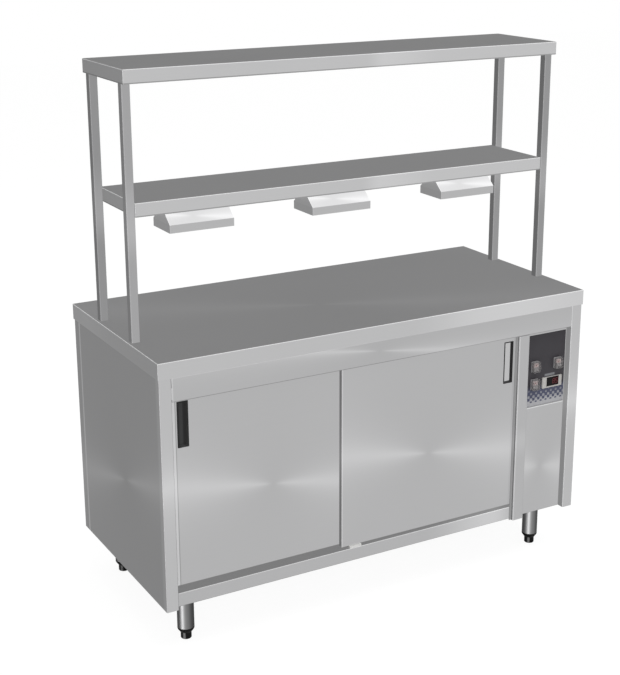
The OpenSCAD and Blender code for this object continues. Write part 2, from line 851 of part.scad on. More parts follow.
// A wheel on each side of the hanger plate, on one axle that turns with them
module wheels(x, mid_y) {
    reach = wheel_in + wheel_w;
    head = 0.8;
    hole_r = (wheel_r - axle_r) * 0.2;
    ring_r = (wheel_r + axle_r) / 2;
    rod([x, mid_y - reach - head, wheel_z], "y", axle_r, 2 * (reach + head));
    for (y = [mid_y - reach, mid_y + wheel_in]) translate([x, y, wheel_z]) difference() {
        rod([0, 0, 0], "y", wheel_r, wheel_w);
        for (a = [0 : 60 : 300]) rod([ring_r * cos(a), -1, ring_r * sin(a)], "y", hole_r, wheel_w + 2);
    }
}

module door_left_outer() color("gainsboro") door_outer(left_door_x, rear_door_y, left_pull_x);
module door_left_inner() color("silver") door_inner(left_door_x, rear_door_y);
module door_left_pull() color("black") pull(left_pull_x, rear_door_y);
module door_left_hangers() color("lightgray") hangers(left_door_x, track_mid[1]);
module door_right_outer() color("gainsboro") door_outer(right_door_x, front_door_y, right_pull_x);
module door_right_inner() color("silver") door_inner(right_door_x, front_door_y);
module door_right_pull() color("black") pull(right_pull_x, front_door_y);
module door_right_hangers() color("lightgray") hangers(right_door_x, track_mid[0]);
module wheels_left_outer() color("ivory") wheels(hanger_x(left_door_x)[0], track_mid[1]);
module wheels_left_inner() color("ivory") wheels(hanger_x(left_door_x)[1], track_mid[1]);
module wheels_right_inner() color("ivory") wheels(hanger_x(right_door_x)[0], track_mid[0]);
module wheels_right_outer() color("ivory") wheels(hanger_x(right_door_x)[1], track_mid[0]);

// ---------------------------------------------------------------- control bay

cover_top = header_z - panel_h;
cover_x = [bay_left + seam, bay_right - seam];
panel_top = header_z + panel_rise;
label_y = bay_y - label_t;
label_z = cover_top + label_up;

// Switch places: left upper, left lower, right upper
switch_at = [[bay_mid + switch_left, label_z + switch_high],
    [bay_mid + switch_left, label_z + switch_low],
    [bay_mid + switch_right, label_z + switch_high]];
bezel_low = [bay_mid + bezel_x - bezel_w / 2, label_z + bezel_z - bezel_h / 2];

// How far a switch's and the controller's bodies stand in from their rims, and their depths
switch_in = 2;
switch_body_d = 26;
case_in = 4;
case_d = 58;
cutout_gap = 0.2;

module access_cover() {
    color("gainsboro")
        front_pan([cover_x[0], bay_y, body_z], [cover_x[1], bay_y + cover_fold, cover_top - seam], sheet);
}

// Cut-outs for the switches and the controller
module control_holes(gap) {
    half = [switch_w / 2 - switch_in + gap, switch_h / 2 - switch_in + gap];
    edge = case_in - gap;
    for (at = switch_at)
        block([at[0] - half[0], label_y - 1, at[1] - half[1]], [at[0] + half[0], bay_y + 5, at[1] + half[1]]);
    block([bezel_low[0] + edge, label_y - 1, bezel_low[1] + edge],
        [bezel_low[0] + bezel_w - edge, bay_y + 5, bezel_low[1] + bezel_h - edge]);
}

module control_panel() {
    color("gainsboro") difference() {
        front_pan([cover_x[0], bay_y, cover_top + seam], [cover_x[1], bay_y + cover_fold, panel_top], sheet);
        control_holes(cutout_gap);
    }
}

module control_label() {
    color("dimgray") difference() {
        along_y(label_y, bay_y)
            rounded_rect([bay_mid - label_w / 2, label_z], [bay_mid + label_w / 2, label_z + label_h], 1);
        control_holes(cutout_gap);
    }
}

switch_in_w = switch_w - 2 * switch_rim;
switch_in_h = switch_h - 2 * switch_rim;
switch_well = 15;
rocker_y = label_y - 1;
pin_r = 1.5;
pin_l = 1;

module switch_frames() {
    color("#3a3a3c") for (at = switch_at) translate([at[0], 0, at[1]]) difference() {
        union() {
            intersection() {
                along_y(label_y - switch_t, label_y)
                    rounded_rect([-switch_w / 2, -switch_h / 2], [switch_w / 2, switch_h / 2], 2);
                along_z(-switch_h / 2, switch_h / 2)
                    rounded_rect([-switch_w / 2, label_y - switch_t], [switch_w / 2, label_y + 4], 1.2);
            }
            block([-switch_w / 2 + switch_in, label_y - 0.5, -switch_h / 2 + switch_in],
                [switch_w / 2 - switch_in, label_y + switch_body_d, switch_h / 2 - switch_in]);
        }
        block([-switch_in_w / 2, label_y - switch_t - 1, -switch_in_h / 2],
            [switch_in_w / 2, label_y + switch_well, switch_in_h / 2]);
        rod([-switch_in_w / 2 - pin_l, rocker_y, 0], "x", pin_r + fit_gap, switch_in_w + 2 * pin_l);
    }
}

rocker_w = switch_in_w - 2 * run_gap - 0.2;
rocker_half = switch_in_h / 2 - 1.6;
rocker_out = 7.5;
rocker_d = 6;

// A rocker turns about a level axis; at rest its upper half is pressed in
module rocker(at) {
    hollow_r = 60;
    hollow_d = 1.4;
    translate([at[0] - rocker_w / 2, rocker_y, at[1]]) rotate([-rocker_tip / 2, 0, 0]) {
        intersection() {
            along_x(0, rocker_w) difference() {
                polygon([[-rocker_out, -rocker_half], [-rocker_out, rocker_half], [0, rocker_half - 0.6],
                    [rocker_d, 5], [rocker_d, -5], [0, -rocker_half + 0.6]]);
                translate([-rocker_out - hollow_r + hollow_d, 0]) circle(r = hollow_r, $fn = 144);
            }
            along_y(-rocker_out, rocker_d + 1) rounded_rect([0, -rocker_half], [rocker_w, rocker_half], 1);
        }
        rod([-pin_l, 0, 0], "x", pin_r, rocker_w + 2 * pin_l);
    }
}

module rocker_cupboard() color("gray") rocker(switch_at[0]);
module rocker_lamps() color("gray") rocker(switch_at[1]);
module rocker_power() color("gray") rocker(switch_at[2]);

window_edge = 1.2;
window_low = bezel_low + [window_left, bezel_h - window_h - window_edge];
window_gap = 0.15;
window_d = 2.5;

module controller_case() {
    low = bezel_low;
    high = bezel_low + [bezel_w, bezel_h];
    color("whitesmoke") difference() {
        union() {
            intersection() {
                along_y(label_y - bezel_t, label_y) rounded_rect(low, high, 2);
                along_z(low[1], high[1])
                    rounded_rect([low[0], label_y - bezel_t], [high[0], label_y + 4], 1.2);
            }
            block([low[0] + case_in, label_y - 0.5, low[1] + case_in],
                [high[0] - case_in, label_y + case_d, high[1] - case_in]);
        }
        block([window_low[0], label_y - bezel_t - 1, window_low[1]],
            [window_low[0] + window_w, label_y - bezel_t + window_d, window_low[1] + window_h]);
    }
}

module controller_window() {
    color("black") along_y(label_y - bezel_t + 0.3, label_y - bezel_t + window_d)
        rounded_rect(window_low + [window_gap, window_gap],
            window_low + [window_w - window_gap, window_h - window_gap], 1);
}

relay_in = 120;
relay_up = 170;
relay_y = lining_y + relay_in;
relay_z = body_z + relay_up;

// A relay and a terminal block, clipped on a rail on the partition
module relay_and_terminals() {
    rail = [7.5, 180, 35];
    relay = [62, 45, 80];
    relay_step = [17, 14];
    terminal = [38, 12, 47];
    terminal_pitch = 14;
    overhang = (terminal[2] - rail[2]) / 2;
    color("dimgray") translate([partition_x, relay_y, relay_z]) {
        cube(rail);
        translate([rail[0], 10, (rail[2] - relay[2]) / 2]) difference() {
            cube(relay);
            for (z = [-1, relay[2] - relay_step[1]]) translate([relay[0] - relay_step[0], -1, z])
                cube([relay_step[0] + 1, relay[1] + 2, relay_step[1] + 1]);
            for (i = [0 : 3], z = [relay_step[1] / 2, relay[2] - relay_step[1] / 2])
                rod([relay[0] - relay_step[0] - 7, 7 + i * 10, z], "x", 2.5, 8);
        }
        for (i = [0 : 4]) translate([rail[0], 80 + i * terminal_pitch, -overhang]) difference() {
            cube(terminal);
            for (z = [8, terminal[2] - 8]) rod([terminal[0] - 10, terminal[1] / 2, z], "x", 3, 11);
        }
    }
}

gland_low = 24;
gland_high = 18;
gland_nut_r = 15;

// The mains cable enters through this gland, up into the control bay
module cable_gland() {
    bore_r = 5;
    flange_h = 6;
    cap_h = 14;
    inner_nut_h = 5;
    color("black") translate([gland_x, gland_y, body_z]) difference() {
        union() {
            rod([0, 0, -gland_low], "z", gland_r, gland_low + gland_high);
            translate([0, 0, -flange_h]) cylinder(r = gland_nut_r, h = flange_h, $fn = 6);
            rod([0, 0, -flange_h - cap_h], "z", gland_r + 2.5, cap_h);
            translate([0, 0, sheet]) cylinder(r = gland_nut_r, h = inner_nut_h, $fn = 6);
        }
        rod([0, 0, -gland_low - 1], "z", bore_r, gland_low + gland_high + 2);
    }
}

// ---------------------------------------------------------------- legs and feet

cap_t = 5;
stud_up = sheet + doubler_t + nut_h + 1;

// Each leg is a tube with a welded cap and a stud that goes up through the base
module leg_tubes() {
    color("silver") each_leg() {
        difference() {
            rod([0, 0, leg_end_z], "z", leg_r, body_z - leg_end_z);
            rod([0, 0, leg_end_z - 1], "z", leg_r - leg_wall, body_z - leg_end_z - cap_t + 1);
        }
        rod([0, 0, body_z - 1], "z", stud_r, stud_up + 1);
    }
}

// A tapered black end in each tube, threaded for the foot
module leg_fittings() {
    plug_r = leg_r - leg_wall - fit_gap;
    plug_l = 34;
    rim_h = 2;
    color("#202022") each_leg() difference() {
        rotate_extrude() polygon([[0, foot_h], [foot_r + 0.75, foot_h], [leg_r, leg_end_z - rim_h],
            [leg_r, leg_end_z], [plug_r, leg_end_z], [plug_r, leg_end_z + plug_l], [0, leg_end_z + plug_l]]);
        rod([0, 0, foot_h - 1], "z", foot_stud_r + fit_gap, foot_stud_l + 6);
    }
}

module foot(x, y) {
    round_r = 3;
    color("#202022") translate([x, y, 0]) union() {
        rotate_extrude() {
            translate([0, round_r]) square([foot_r, foot_h - run_gap - round_r]);
            square([foot_r - round_r, foot_h - run_gap]);
            translate([foot_r - round_r, round_r]) intersection() {
                circle(round_r);
                translate([0, -round_r]) square([round_r, round_r]);
            }
        }
        rod([0, 0, foot_h - 1], "z", foot_stud_r, foot_stud_l);
    }
}

module foot_front_left() foot(-leg_x, leg_front_y);
module foot_front_right() foot(leg_x, leg_front_y);
module foot_rear_left() foot(-leg_x, leg_rear_y);
module foot_rear_right() foot(leg_x, leg_rear_y);

// ---------------------------------------------------------------- gantry

post_top = upper_z - sheet;
plug_h = 20;

// Square tubes with a threaded block in the foot of each
module gantry_posts() {
    half = post_w / 2;
    bore = half - post_wall;
    color("lightgray") difference() {
        each_post() difference() {
            along_z(worktop_h, post_top) rounded_rect([-half, -half], [half, half], 2);
            along_z(worktop_h + plug_h, post_top + 1) rounded_rect([-bore, -bore], [bore, bore], 1);
            rod([0, 0, worktop_h - 1], "z", post_bolt_r + fit_gap, plug_h + 2);
        }
        for (y = [-post_y, post_y], z = shelf_screw_z)
            rod([-post_x, gantry_back + y, z], "x", screw_r + fit_gap, 2 * post_x);
    }
}

module post_flanges() {
    top = worktop_h - worktop_sheet;
    color("darkgray") difference() {
        for (s = [-1, 1], y = [-post_y, post_y]) {
            middle = s * (post_x + post_w / 2 - flange_w / 2);
            translate([middle - flange_w / 2, gantry_back + y - flange_w / 2, top - flange_t])
                cube([flange_w, flange_w, flange_t]);
        }
        each_post() rod([0, 0, top - flange_t - 1], "z", post_bolt_r + hole_gap, flange_t + 2);
    }
}

rib_w = 90;
rib_weld = 10;
rib_end = 8;
screw_r = 3;
screw_gap = 0.2;
shelf_screw_z = [lower_z - 12, lower_z - 28];

// A top-hat rib welded under a gantry shelf, as deep as the shelf's edge
module shelf_rib(half_l, shelf_top) {
    high = shelf_top - sheet;
    low = shelf_top - gantry_edge + sheet / 2;
    along_x(-half_l, half_l) translate([gantry_back, 0]) folded([
        [-rib_w / 2 - rib_weld, high],
        [-rib_w / 2, high],
        [-rib_w / 2, low],
        [rib_w / 2, low],
        [rib_w / 2, high],
        [rib_w / 2 + rib_weld, high]], sheet, 2);
}

module gantry_lower_shelf() {
    x = post_x - post_w / 2 - shelf_post_gap;
    y = post_span / 2;
    color("gainsboro") difference() {
        union() {
            top_pan([-x, gantry_back - y, lower_z - gantry_edge], [x, gantry_back + y, lower_z],
                sheet, gantry_lip);
            shelf_rib(x - sheet - rib_end, lower_z);
        }
        each_post() for (z = shelf_screw_z)
            rod([-post_w, 0, z], "x", screw_r + screw_gap, 2 * post_w);
        each_lamp() for (x = [-1, 1] * bracket_screw_x)
            rod([x, bracket_screw_y, lower_z - gantry_edge - 1], "z", screw_r + screw_gap, 2 * sheet);
    }
}

module gantry_upper_shelf() {
    x = post_x + post_w / 2 + upper_over_x;
    y = post_span / 2 + upper_over_y;
    half = post_w / 2 + run_gap;
    color("gainsboro") difference() {
        union() {
            top_pan([-x, gantry_back - y, upper_z - gantry_edge], [x, gantry_back + y, upper_z],
                sheet, gantry_lip);
            shelf_rib(post_x - post_w, upper_z);
        }
        each_post() block([-half, -half, upper_z - gantry_edge - 1], [half, half, upper_z - sheet]);
    }
}

// ---------------------------------------------------------------- heat lamps

slope_in = lamp_slope_h / tan(lamp_slope);
lamp_sheet = 1;

// Section of a lamp housing, drawn in by a distance all round
function lamp_section(inset) = [
    [-lamp_d / 2 + inset, -1],
    [-lamp_d / 2 + inset, lamp_band - inset * tan(lamp_slope / 2)],
    [-lamp_d / 2 + slope_in + inset * tan(lamp_slope / 2), lamp_band + lamp_slope_h - inset],
    [lamp_d / 2 - slope_in - inset * tan(lamp_slope / 2), lamp_band + lamp_slope_h - inset],
    [lamp_d / 2 - inset, lamp_band - inset * tan(lamp_slope / 2)],
    [lamp_d / 2 - inset, -1]];

module lamp_prism(half_l, inset) along_x(-half_l, half_l) translate([0, lamp_z]) polygon(lamp_section(inset));

module lamp_housings() {
    half = lamp_l / 2;
    color("silver") each_lamp() difference() {
        intersection() {
            lamp_prism(half, 0);
            block([-half, -lamp_d, lamp_z], [half, lamp_d, lamp_top_z + 1]);
        }
        lamp_prism(half - lamp_sheet, lamp_sheet);
        for (x = [-1, 1] * bracket_screw_x) rod([x, 0, lamp_top_z - 3], "z", screw_r + screw_gap, 6);
    }
}

bracket_screw_x = 35;
bracket_screw_y = -6;
bracket_l = 110;
bracket_w = 36;
reflector_inset = 4;
holder_l = 14;

module lamp_reflectors() {
    half = lamp_l / 2 - lamp_sheet - 0.2;
    low = lamp_z + 6;
    tab = [6, 36];
    color("white") each_lamp() {
        difference() {
            intersection() {
                lamp_prism(half, reflector_inset);
                block([-half, -lamp_d, low], [half, lamp_d, lamp_top_z]);
            }
            lamp_prism(half + 1, reflector_inset + 0.6);
        }
        for (x = [-1, 1] * (half - tab[0])) translate([x - tab[0] / 2, -tab[1] / 2, 0])
            block([0, 0, lamp_top_z - reflector_inset], [tab[0], tab[1], lamp_top_z - lamp_sheet]);
    }
}

tube_up = 26;
tube_z = lamp_z + tube_up;
holder_w = 18;

module lamp_tubes() {
    inside = lamp_l / 2 - lamp_sheet;
    half = inside - holder_l + 4;
    color("orange") each_lamp() {
        rod([-half, 0, tube_z], "x", lamp_tube_r, 2 * half);
        for (x = [-inside, inside - holder_l])
            translate([x, -holder_w / 2, tube_z - holder_w / 2]) cube([holder_l, holder_w, holder_w]);
    }
}

// Long wires across the lamp's mouth, on two cross wires
module lamp_guards() {
    inside = lamp_l / 2 - lamp_sheet;
    wire_z = lamp_z + 2 + 3 * wire_r;
    wire_pitch = lamp_d / 5;
    cross_l = lamp_d - 2 * lamp_sheet;
    color("lightgray") each_lamp() {
        for (i = [-1.5 : 1.5]) rod([-inside, i * wire_pitch, wire_z], "x", wire_r, 2 * inside);
        for (x = [-0.3, 0.3] * lamp_l)
            rod([x, -cross_l / 2, wire_z - 2 * wire_r + 0.3], "y", wire_r, cross_l);
    }
}

module lamp_brackets() {
    half = bracket_w / 2;
    color("darkgray") each_lamp() difference() {
        along_x(-bracket_l / 2, bracket_l / 2) folded([
            [-half, lamp_top_z + sheet / 2],
            [half, lamp_top_z + sheet / 2],
            [half, bracket_top_z - sheet / 2],
            [-half, bracket_top_z - sheet / 2]], sheet, 2);
        for (x = [-1, 1] * bracket_screw_x) {
            rod([x, 0, lamp_top_z - 1], "z", screw_r + screw_gap, 2 * sheet);
            rod([x, bracket_screw_y, bracket_top_z - 2 * sheet], "z", screw_r + screw_gap, 3 * sheet);
        }
    }
}

// ---------------------------------------------------------------- fixings

module hex_bolt(r, l, head) {
    cylinder(r = r, h = l);
    translate([0, 0, -head]) cylinder(r = r * 1.9, h = head, $fn = 6);
}

// A round-headed screw whose head bears at its origin
module screw(l) {
    head = 2;
    cylinder(r = screw_r, h = l);
    translate([0, 0, -head]) cylinder(r = screw_r * 1.7, h = head);
}

shelf_screw_x = post_x - post_w / 2 - shelf_post_gap - sheet;

// Bolts up into the posts, nuts on the leg studs, and screws in the gantry
module fixing_bolts() {
    flange_low = worktop_h - worktop_sheet - flange_t;
    bolt_l = flange_t + worktop_sheet + plug_h - 3;
    color("lightgray") {
        each_post() translate([0, 0, flange_low]) hex_bolt(post_bolt_r, bolt_l, 6);
        each_leg() translate([0, 0, body_z + sheet + doubler_t]) difference() {
            cylinder(r = nut_r, h = nut_h, $fn = 6);
            rod([0, 0, -1], "z", stud_r + fit_gap, nut_h + 2);
        }
        for (s = [-1, 1], y = [-post_y, post_y], z = shelf_screw_z)
            translate([s * shelf_screw_x, gantry_back + y, z]) rotate([0, s * 90, 0]) screw(10);
        each_lamp() for (x = [-1, 1] * bracket_screw_x) {
            translate([x, 0, lamp_top_z - lamp_sheet]) screw(7);
            translate([x, bracket_screw_y, bracket_top_z - sheet]) screw(7);
        }
    }
}

// ---------------------------------------------------------------- the part

worktop();
worktop_stiffeners();
side_panel_left();
side_panel_right();
back_panel();
base_pan();
sill_rail();
header_rail();
centre_stile();
bay_partition();
lining_walls();
lining_floor();
insulation_slabs();
inner_shelf();
shelf_supports();
top_track();
track_buffers();
door_guide();
door_left_outer();
door_left_inner();
door_left_pull();
door_left_hangers();
door_right_outer();
door_right_inner();
door_right_pull();
door_right_hangers();
wheels_left_outer();
wheels_left_inner();
wheels_right_inner();
wheels_right_outer();
access_cover();
control_panel();
control_label();
switch_frames();
rocker_cupboard();
rocker_lamps();
rocker_power();
controller_case();
controller_window();
heating_elements();
element_guard();
temperature_probe();
relay_and_terminals();
cable_gland();
leg_tubes();
leg_fittings();
foot_front_left();
foot_front_right();
foot_rear_left();
foot_rear_right();
gantry_posts();
post_flanges();
gantry_lower_shelf();
gantry_upper_shelf();
lamp_housings();
lamp_reflectors();
lamp_tubes();
lamp_guards();
lamp_brackets();
fixing_bolts();
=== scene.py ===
# %% [markdown]
# # A plate warmer cabinet with a lamp gantry
# This lesson dresses a finished CAD model of a stainless steel plate warmer: a hot cupboard with
# two sliding doors, a control bay, and a gantry with two shelves and three heat lamps. The solids
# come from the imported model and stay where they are. What is added here are finishes, light, and
# the small pieces that give the cabinet its scale.

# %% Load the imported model
import math

import bmesh
import bpy
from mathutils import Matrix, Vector


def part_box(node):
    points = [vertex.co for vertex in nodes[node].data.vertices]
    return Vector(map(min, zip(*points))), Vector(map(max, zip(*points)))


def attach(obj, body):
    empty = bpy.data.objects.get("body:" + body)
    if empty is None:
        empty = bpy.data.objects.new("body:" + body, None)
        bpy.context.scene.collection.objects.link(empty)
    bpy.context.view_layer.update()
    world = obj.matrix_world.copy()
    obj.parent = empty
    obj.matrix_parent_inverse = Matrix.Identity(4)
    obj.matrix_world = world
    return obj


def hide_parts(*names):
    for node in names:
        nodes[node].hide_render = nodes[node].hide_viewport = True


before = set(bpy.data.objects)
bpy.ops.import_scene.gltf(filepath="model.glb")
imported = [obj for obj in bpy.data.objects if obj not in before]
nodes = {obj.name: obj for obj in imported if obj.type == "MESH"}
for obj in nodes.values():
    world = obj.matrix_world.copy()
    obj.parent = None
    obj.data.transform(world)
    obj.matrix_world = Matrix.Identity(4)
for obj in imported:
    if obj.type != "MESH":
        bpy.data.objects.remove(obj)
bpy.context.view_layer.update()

# %% [markdown]
# ## The camera
# The photograph was taken from the front left and a little above. Its lens and place were worked
# out from the cabinet's straight edges, whose real lengths are known. A small shift keeps the
# frame where the photographer put it, which a turn of the camera would not do.

# %% Place the camera
VIEW_SIZE = (620, 675)          # the photograph's frame in pixels
SENSOR = 36.0
focal_px, middle_px = 1384.91, (331.19, 302.52)
turn, tilt = math.radians(29.88), math.radians(16.42)


def add_to_scene(name, data):
    """Makes an object from a mesh, a camera or a lamp."""
    thing = bpy.data.objects.new(name, data)
    bpy.context.scene.collection.objects.link(thing)
    return thing


camera = add_to_scene("photo_camera", bpy.data.cameras.new("photo_camera"))
bpy.context.scene.camera = camera
camera.location = (-2.0875, -3.6248, 2.1131)
ahead = Vector((math.sin(turn) * math.cos(tilt), math.cos(turn) * math.cos(tilt), -math.sin(tilt)))
camera.rotation_mode = "QUATERNION"
camera.rotation_quaternion = ahead.to_track_quat("-Z", "Y")
long_side = max(VIEW_SIZE)
camera.data.sensor_width = SENSOR
camera.data.lens = focal_px * SENSOR / long_side
camera.data.shift_x = (VIEW_SIZE[0] / 2 - middle_px[0]) / long_side
camera.data.shift_y = (middle_px[1] - VIEW_SIZE[1] / 2) / long_side
bpy.context.scene.view_settings.view_transform = "Standard"
print("lens", round(camera.data.lens, 2), "mm, shift", round(camera.data.shift_x, 4),
      round(camera.data.shift_y, 4))

# %% [markdown]
# ## Shader sums written as Python
# A material is a graph of nodes, which is slow to read. A small class can wrap a node's output so
# that + and * make Math nodes, and then a pattern reads like a formula. One method makes every
# other node: its settings are given first, then the values or links of its sockets.

# %% A wire that can be added and multiplied
class Wire:
    """One output of a node. Arithmetic on it adds Math nodes to the same tree."""

    def __init__(self, paint, socket):
        self.paint, self.socket = paint, socket

    def also(self, name):
        return Wire(self.paint, self.socket.node.outputs[name])

    def maths(self, operation, *others):
        return self.paint.make("Math", {"operation": operation}, [self, *others])

    def after(self, operation, first):
        return self.paint.make("Math", {"operation": operation}, [first, self])

    def __add__(self, other): return self.maths("ADD", other)
    def __sub__(self, other): return self.maths("SUBTRACT", other)
    def __rsub__(self, other): return self.after("SUBTRACT", other)
    def __mul__(self, other): return self.maths("MULTIPLY", other)
    def __truediv__(self, other): return self.maths("DIVIDE", other)
    def __rtruediv__(self, other): return self.after("DIVIDE", other)
    def __pow__(self, other): return self.maths("POWER", other)
    def __mod__(self, other): return self.maths("FLOORED_MODULO", other)
    def __abs__(self): return self.maths("ABSOLUTE")
    def at_least(self, other): return self.maths("MAXIMUM", other)
    def at_most(self, other): return self.maths("MINIMUM", other)
    def above(self, other): return self.maths("GREATER_THAN", other)
    __radd__, __rmul__ = __add__, __mul__

    def rise(self, start, end):
        """0 before start and 1 after end, with a soft step between. Start may be the larger."""
        low, high = min(start, end), max(start, end)
        step = self.paint.make("MapRange", {"interpolation_type": "SMOOTHSTEP"},
                               [self, low, high, 0.0, 1.0])
        return 1.0 - step if start > end else step

    def hump(self, peak, left, right, tail=0.0):
        """Climbs to 1 at a peak, then sinks to a tail."""
        return self.rise(peak - left, peak) * (1.0 - (1.0 - tail) * self.rise(peak, peak + right))

    def within(self, low, high, soft=0.0004):
        """1 between two values, with edges as soft as ink on film."""
        return self.rise(low - soft, low + soft) * self.rise(high + soft, high - soft)


class Paint:
    """The node tree of a material or of the world."""

    def __init__(self, tree):
        self.tree = tree
        tree.nodes.clear()

    def make(self, kind, settings=None, values=(), out=0):
        node = self.tree.nodes.new("ShaderNode" + kind)
        for key, value in (settings or {}).items():
            setattr(node, key, value)
        for key, value in (values.items() if isinstance(values, dict) else enumerate(values)):
            if isinstance(value, Wire):
                self.tree.links.new(value.socket, node.inputs[key])
            else:
                node.inputs[key].default_value = value
        return Wire(self, node.outputs[out]) if len(node.outputs) else node

    def mix(self, share, one, other):
        """A colour between two colours."""
        one, other = [c if isinstance(c, Wire) else (*c, 1.0) for c in (one, other)]
        return self.make("Mix", {"data_type": "RGBA"}, {0: share, 6: one, 7: other}, out=2)

    def place(self):
        """The point on the piece, in metres from the origin on the floor, and its X, Y and Z."""
        point = self.make("TexCoord", out="Object")
        x = self.make("SeparateXYZ", None, [point])
        return point, x, x.also("Y"), x.also("Z")

    def noise(self, point, scale, detail=2.0):
        """Noise from 0 to 1. scale is its lumps per metre, one number or one each for X, Y and Z."""
        lumps = scale if isinstance(scale, tuple) else (scale,) * 3
        spread = self.make("VectorMath", {"operation": "MULTIPLY"}, [point, lumps])
        return self.make("TexNoise", None, {"Vector": spread, "Scale": 1.0, "Detail": detail})

    def bump(self, height, strength, depth):
        return self.make("Bump", None, {"Strength": strength, "Distance": depth, "Height": height})

    def surface(self, values):
        shader = self.make("BsdfPrincipled", None, values)
        self.make("OutputMaterial", None, {"Surface": shader})


def new_material(name):
    material = bpy.data.materials.new(name)
    material.use_nodes = True
    return material, Paint(material.node_tree)


def dress(material, *names):
    """Gives CAD nodes a material. Their meshes stay untouched."""
    for name in names:
        for slot in nodes[name].material_slots:
            slot.material = material


print("Wire and Paint are ready")

# %% [markdown]
# ## Studio light
# Brushed steel has hardly any colour of its own: it shows what stands around it. A photographer
# surrounds it with soft boxes, and here they are drawn into the world: a broad pale one in front,
# one overhead, a narrow upright one at the left that runs down the tubes, and a quieter pale grey
# behind. The camera itself sees plain white, and matt pieces are lit by an even sky.

# %% Paint the world
def soft_box(paint, heading, towards, inner, outer, flatten=1.0):
    """1 inside a patch of sky around a direction, fading out between two angles in degrees."""
    squeezed = paint.make("VectorMath", {"operation": "MULTIPLY"}, [heading, (1.0, 1.0, flatten)])
    unit = paint.make("VectorMath", {"operation": "NORMALIZE"}, [squeezed])
    aim = tuple(Vector(towards).normalized())
    near = paint.make("VectorMath", {"operation": "DOT_PRODUCT"}, [unit, aim], out="Value")
    return near.rise(math.cos(math.radians(outer)), math.cos(math.radians(inner)))


world = bpy.data.worlds.new("studio")
bpy.context.scene.world = world
world.use_nodes = True
sky = Paint(world.node_tree)
heading = sky.make("TexCoord", out="Generated")
front = soft_box(sky, heading, (0.30, -0.95, -0.10), 40, 100)
overhead = soft_box(sky, heading, (0.45, -0.20, 0.87), 14, 40)
left_strip = soft_box(sky, heading, (-0.975, -0.16, 0.0), 8, 20, flatten=0.35)
rear_box = soft_box(sky, heading, (-0.36, 0.80, 0.50), 8, 20)
mirrored = 0.36 + 0.48 * front + 0.9 * overhead + 1.25 * left_strip + 1.0 * rear_box
camera_ray = sky.make("LightPath", out="Is Camera Ray")
mirror_ray = camera_ray.also("Is Glossy Ray").at_least(camera_ray.also("Is Transmission Ray"))
matt_ray = 1.0 - camera_ray.at_least(mirror_ray)
level = camera_ray.at_least(mirror_ray * mirrored).at_least(matt_ray * 0.62)
background = sky.make("Background", None, {"Color": level, "Strength": 1.0})
sky.make("OutputWorld", None, {"Surface": background})
print("world painted with", len(world.node_tree.nodes), "nodes")

# %% [markdown]
# ## Floor and lamps
# The photograph's ground is white without an edge. The floor gives off most of that white by
# itself and takes the rest from the lamps, so the cabinet still leaves a soft shadow on it. In
# polished metal the world's own pale ground stands for it.

# %% Lay the floor and hang the lamps
FLOOR_REACH = 14.0
OWN_LIGHT = 0.88                # the share of the floor's white that it gives off by itself

floor_mesh = bpy.data.meshes.new("floor")
corners = [(-FLOOR_REACH, -FLOOR_REACH, 0), (FLOOR_REACH, -FLOOR_REACH, 0),
           (FLOOR_REACH, FLOOR_REACH, 0), (-FLOOR_REACH, FLOOR_REACH, 0)]
floor_mesh.from_pydata(corners, [], [(0, 1, 2, 3)])
floor = add_to_scene("floor", floor_mesh)
floor.visible_glossy = False
floor_white, ground = new_material("pale_floor")
seen = ground.make("LightPath", out="Is Camera Ray")
seen = seen.at_least(seen.also("Is Glossy Ray")).at_least(seen.also("Is Transmission Ray"))
own_light = ground.make("Emission", None, {"Color": (1, 1, 1, 1), "Strength": 1.05})
lit = ground.make("BsdfDiffuse", None, {"Color": (0.96, 0.96, 0.96, 1)})
both = ground.make("MixShader", None, [seen * OWN_LIGHT, lit, own_light])
ground.make("OutputMaterial", None, {"Surface": both})
floor_mesh.materials.append(floor_white)


def area_lamp(name, place, target, size, power):
    """A rectangular lamp aimed at a target, unseen by mirror rays."""
    data = bpy.data.lights.new(name, "AREA")
    data.shape, data.size, data.size_y, data.energy = "RECTANGLE", size[0], size[1], power
    lamp = add_to_scene(name, data)
    lamp.location = place
    lamp.rotation_mode = "QUATERNION"
    lamp.rotation_quaternion = (Vector(target) - Vector(place)).to_track_quat("-Z", "Y")
    lamp.visible_glossy = False


area_lamp("ceiling_lamp", (0.4, -0.8, 4.2), (0, 0, 0.8), (3.6, 3.0), 110)
area_lamp("front_lamp", (-1.2, -4.6, 2.6), (0, 0, 0.9), (2.6, 2.0), 60)
print("floor laid, 2 lamps hung")

# %% [markdown]
# ## Brushed stainless steel
# The sheet metal of such a cabinet is ground with a fine belt. Close up there are straight
# scratches along the grain; from a step away light catches each sheet in a pale bow-tie, two
# bright lobes that meet at its middle. An anisotropic shader could give it, but then it slides
# about as the viewer moves and the exported model loses it. So the bow-tie is a painted
# highlight, put into the colour from the point's own place in metres: its brightness depends on
# the angle between that point and a line through the middle.
# The two numbers in each rise() are places in metres too, the start and end of a soft step.

# %% Make the steel
GRAIN_FINE, GRAIN_LONG = 900.0, 9.0      # scratches per metre, across and along the grain
MIDDLE_SOFT = 0.0004                     # square metres; softens the middle of a bow-tie
MORE_BLUE = 0.005                        # steel is a very little stronger in blue


def lobes(across, up, centre, lean, gain, pinch):
    """The painted bow-tie highlight of one flat sheet, leaning by an angle in degrees. A larger pinch
    is thinner.
    """
    c, s = math.cos(math.radians(lean)), math.sin(math.radians(lean))
    u, v = across - centre[0], up - centre[1]
    along, off = u * c + v * s, v * c - u * s
    return gain * (along * along) / (along * along + pinch * (off * off) + MIDDLE_SOFT)


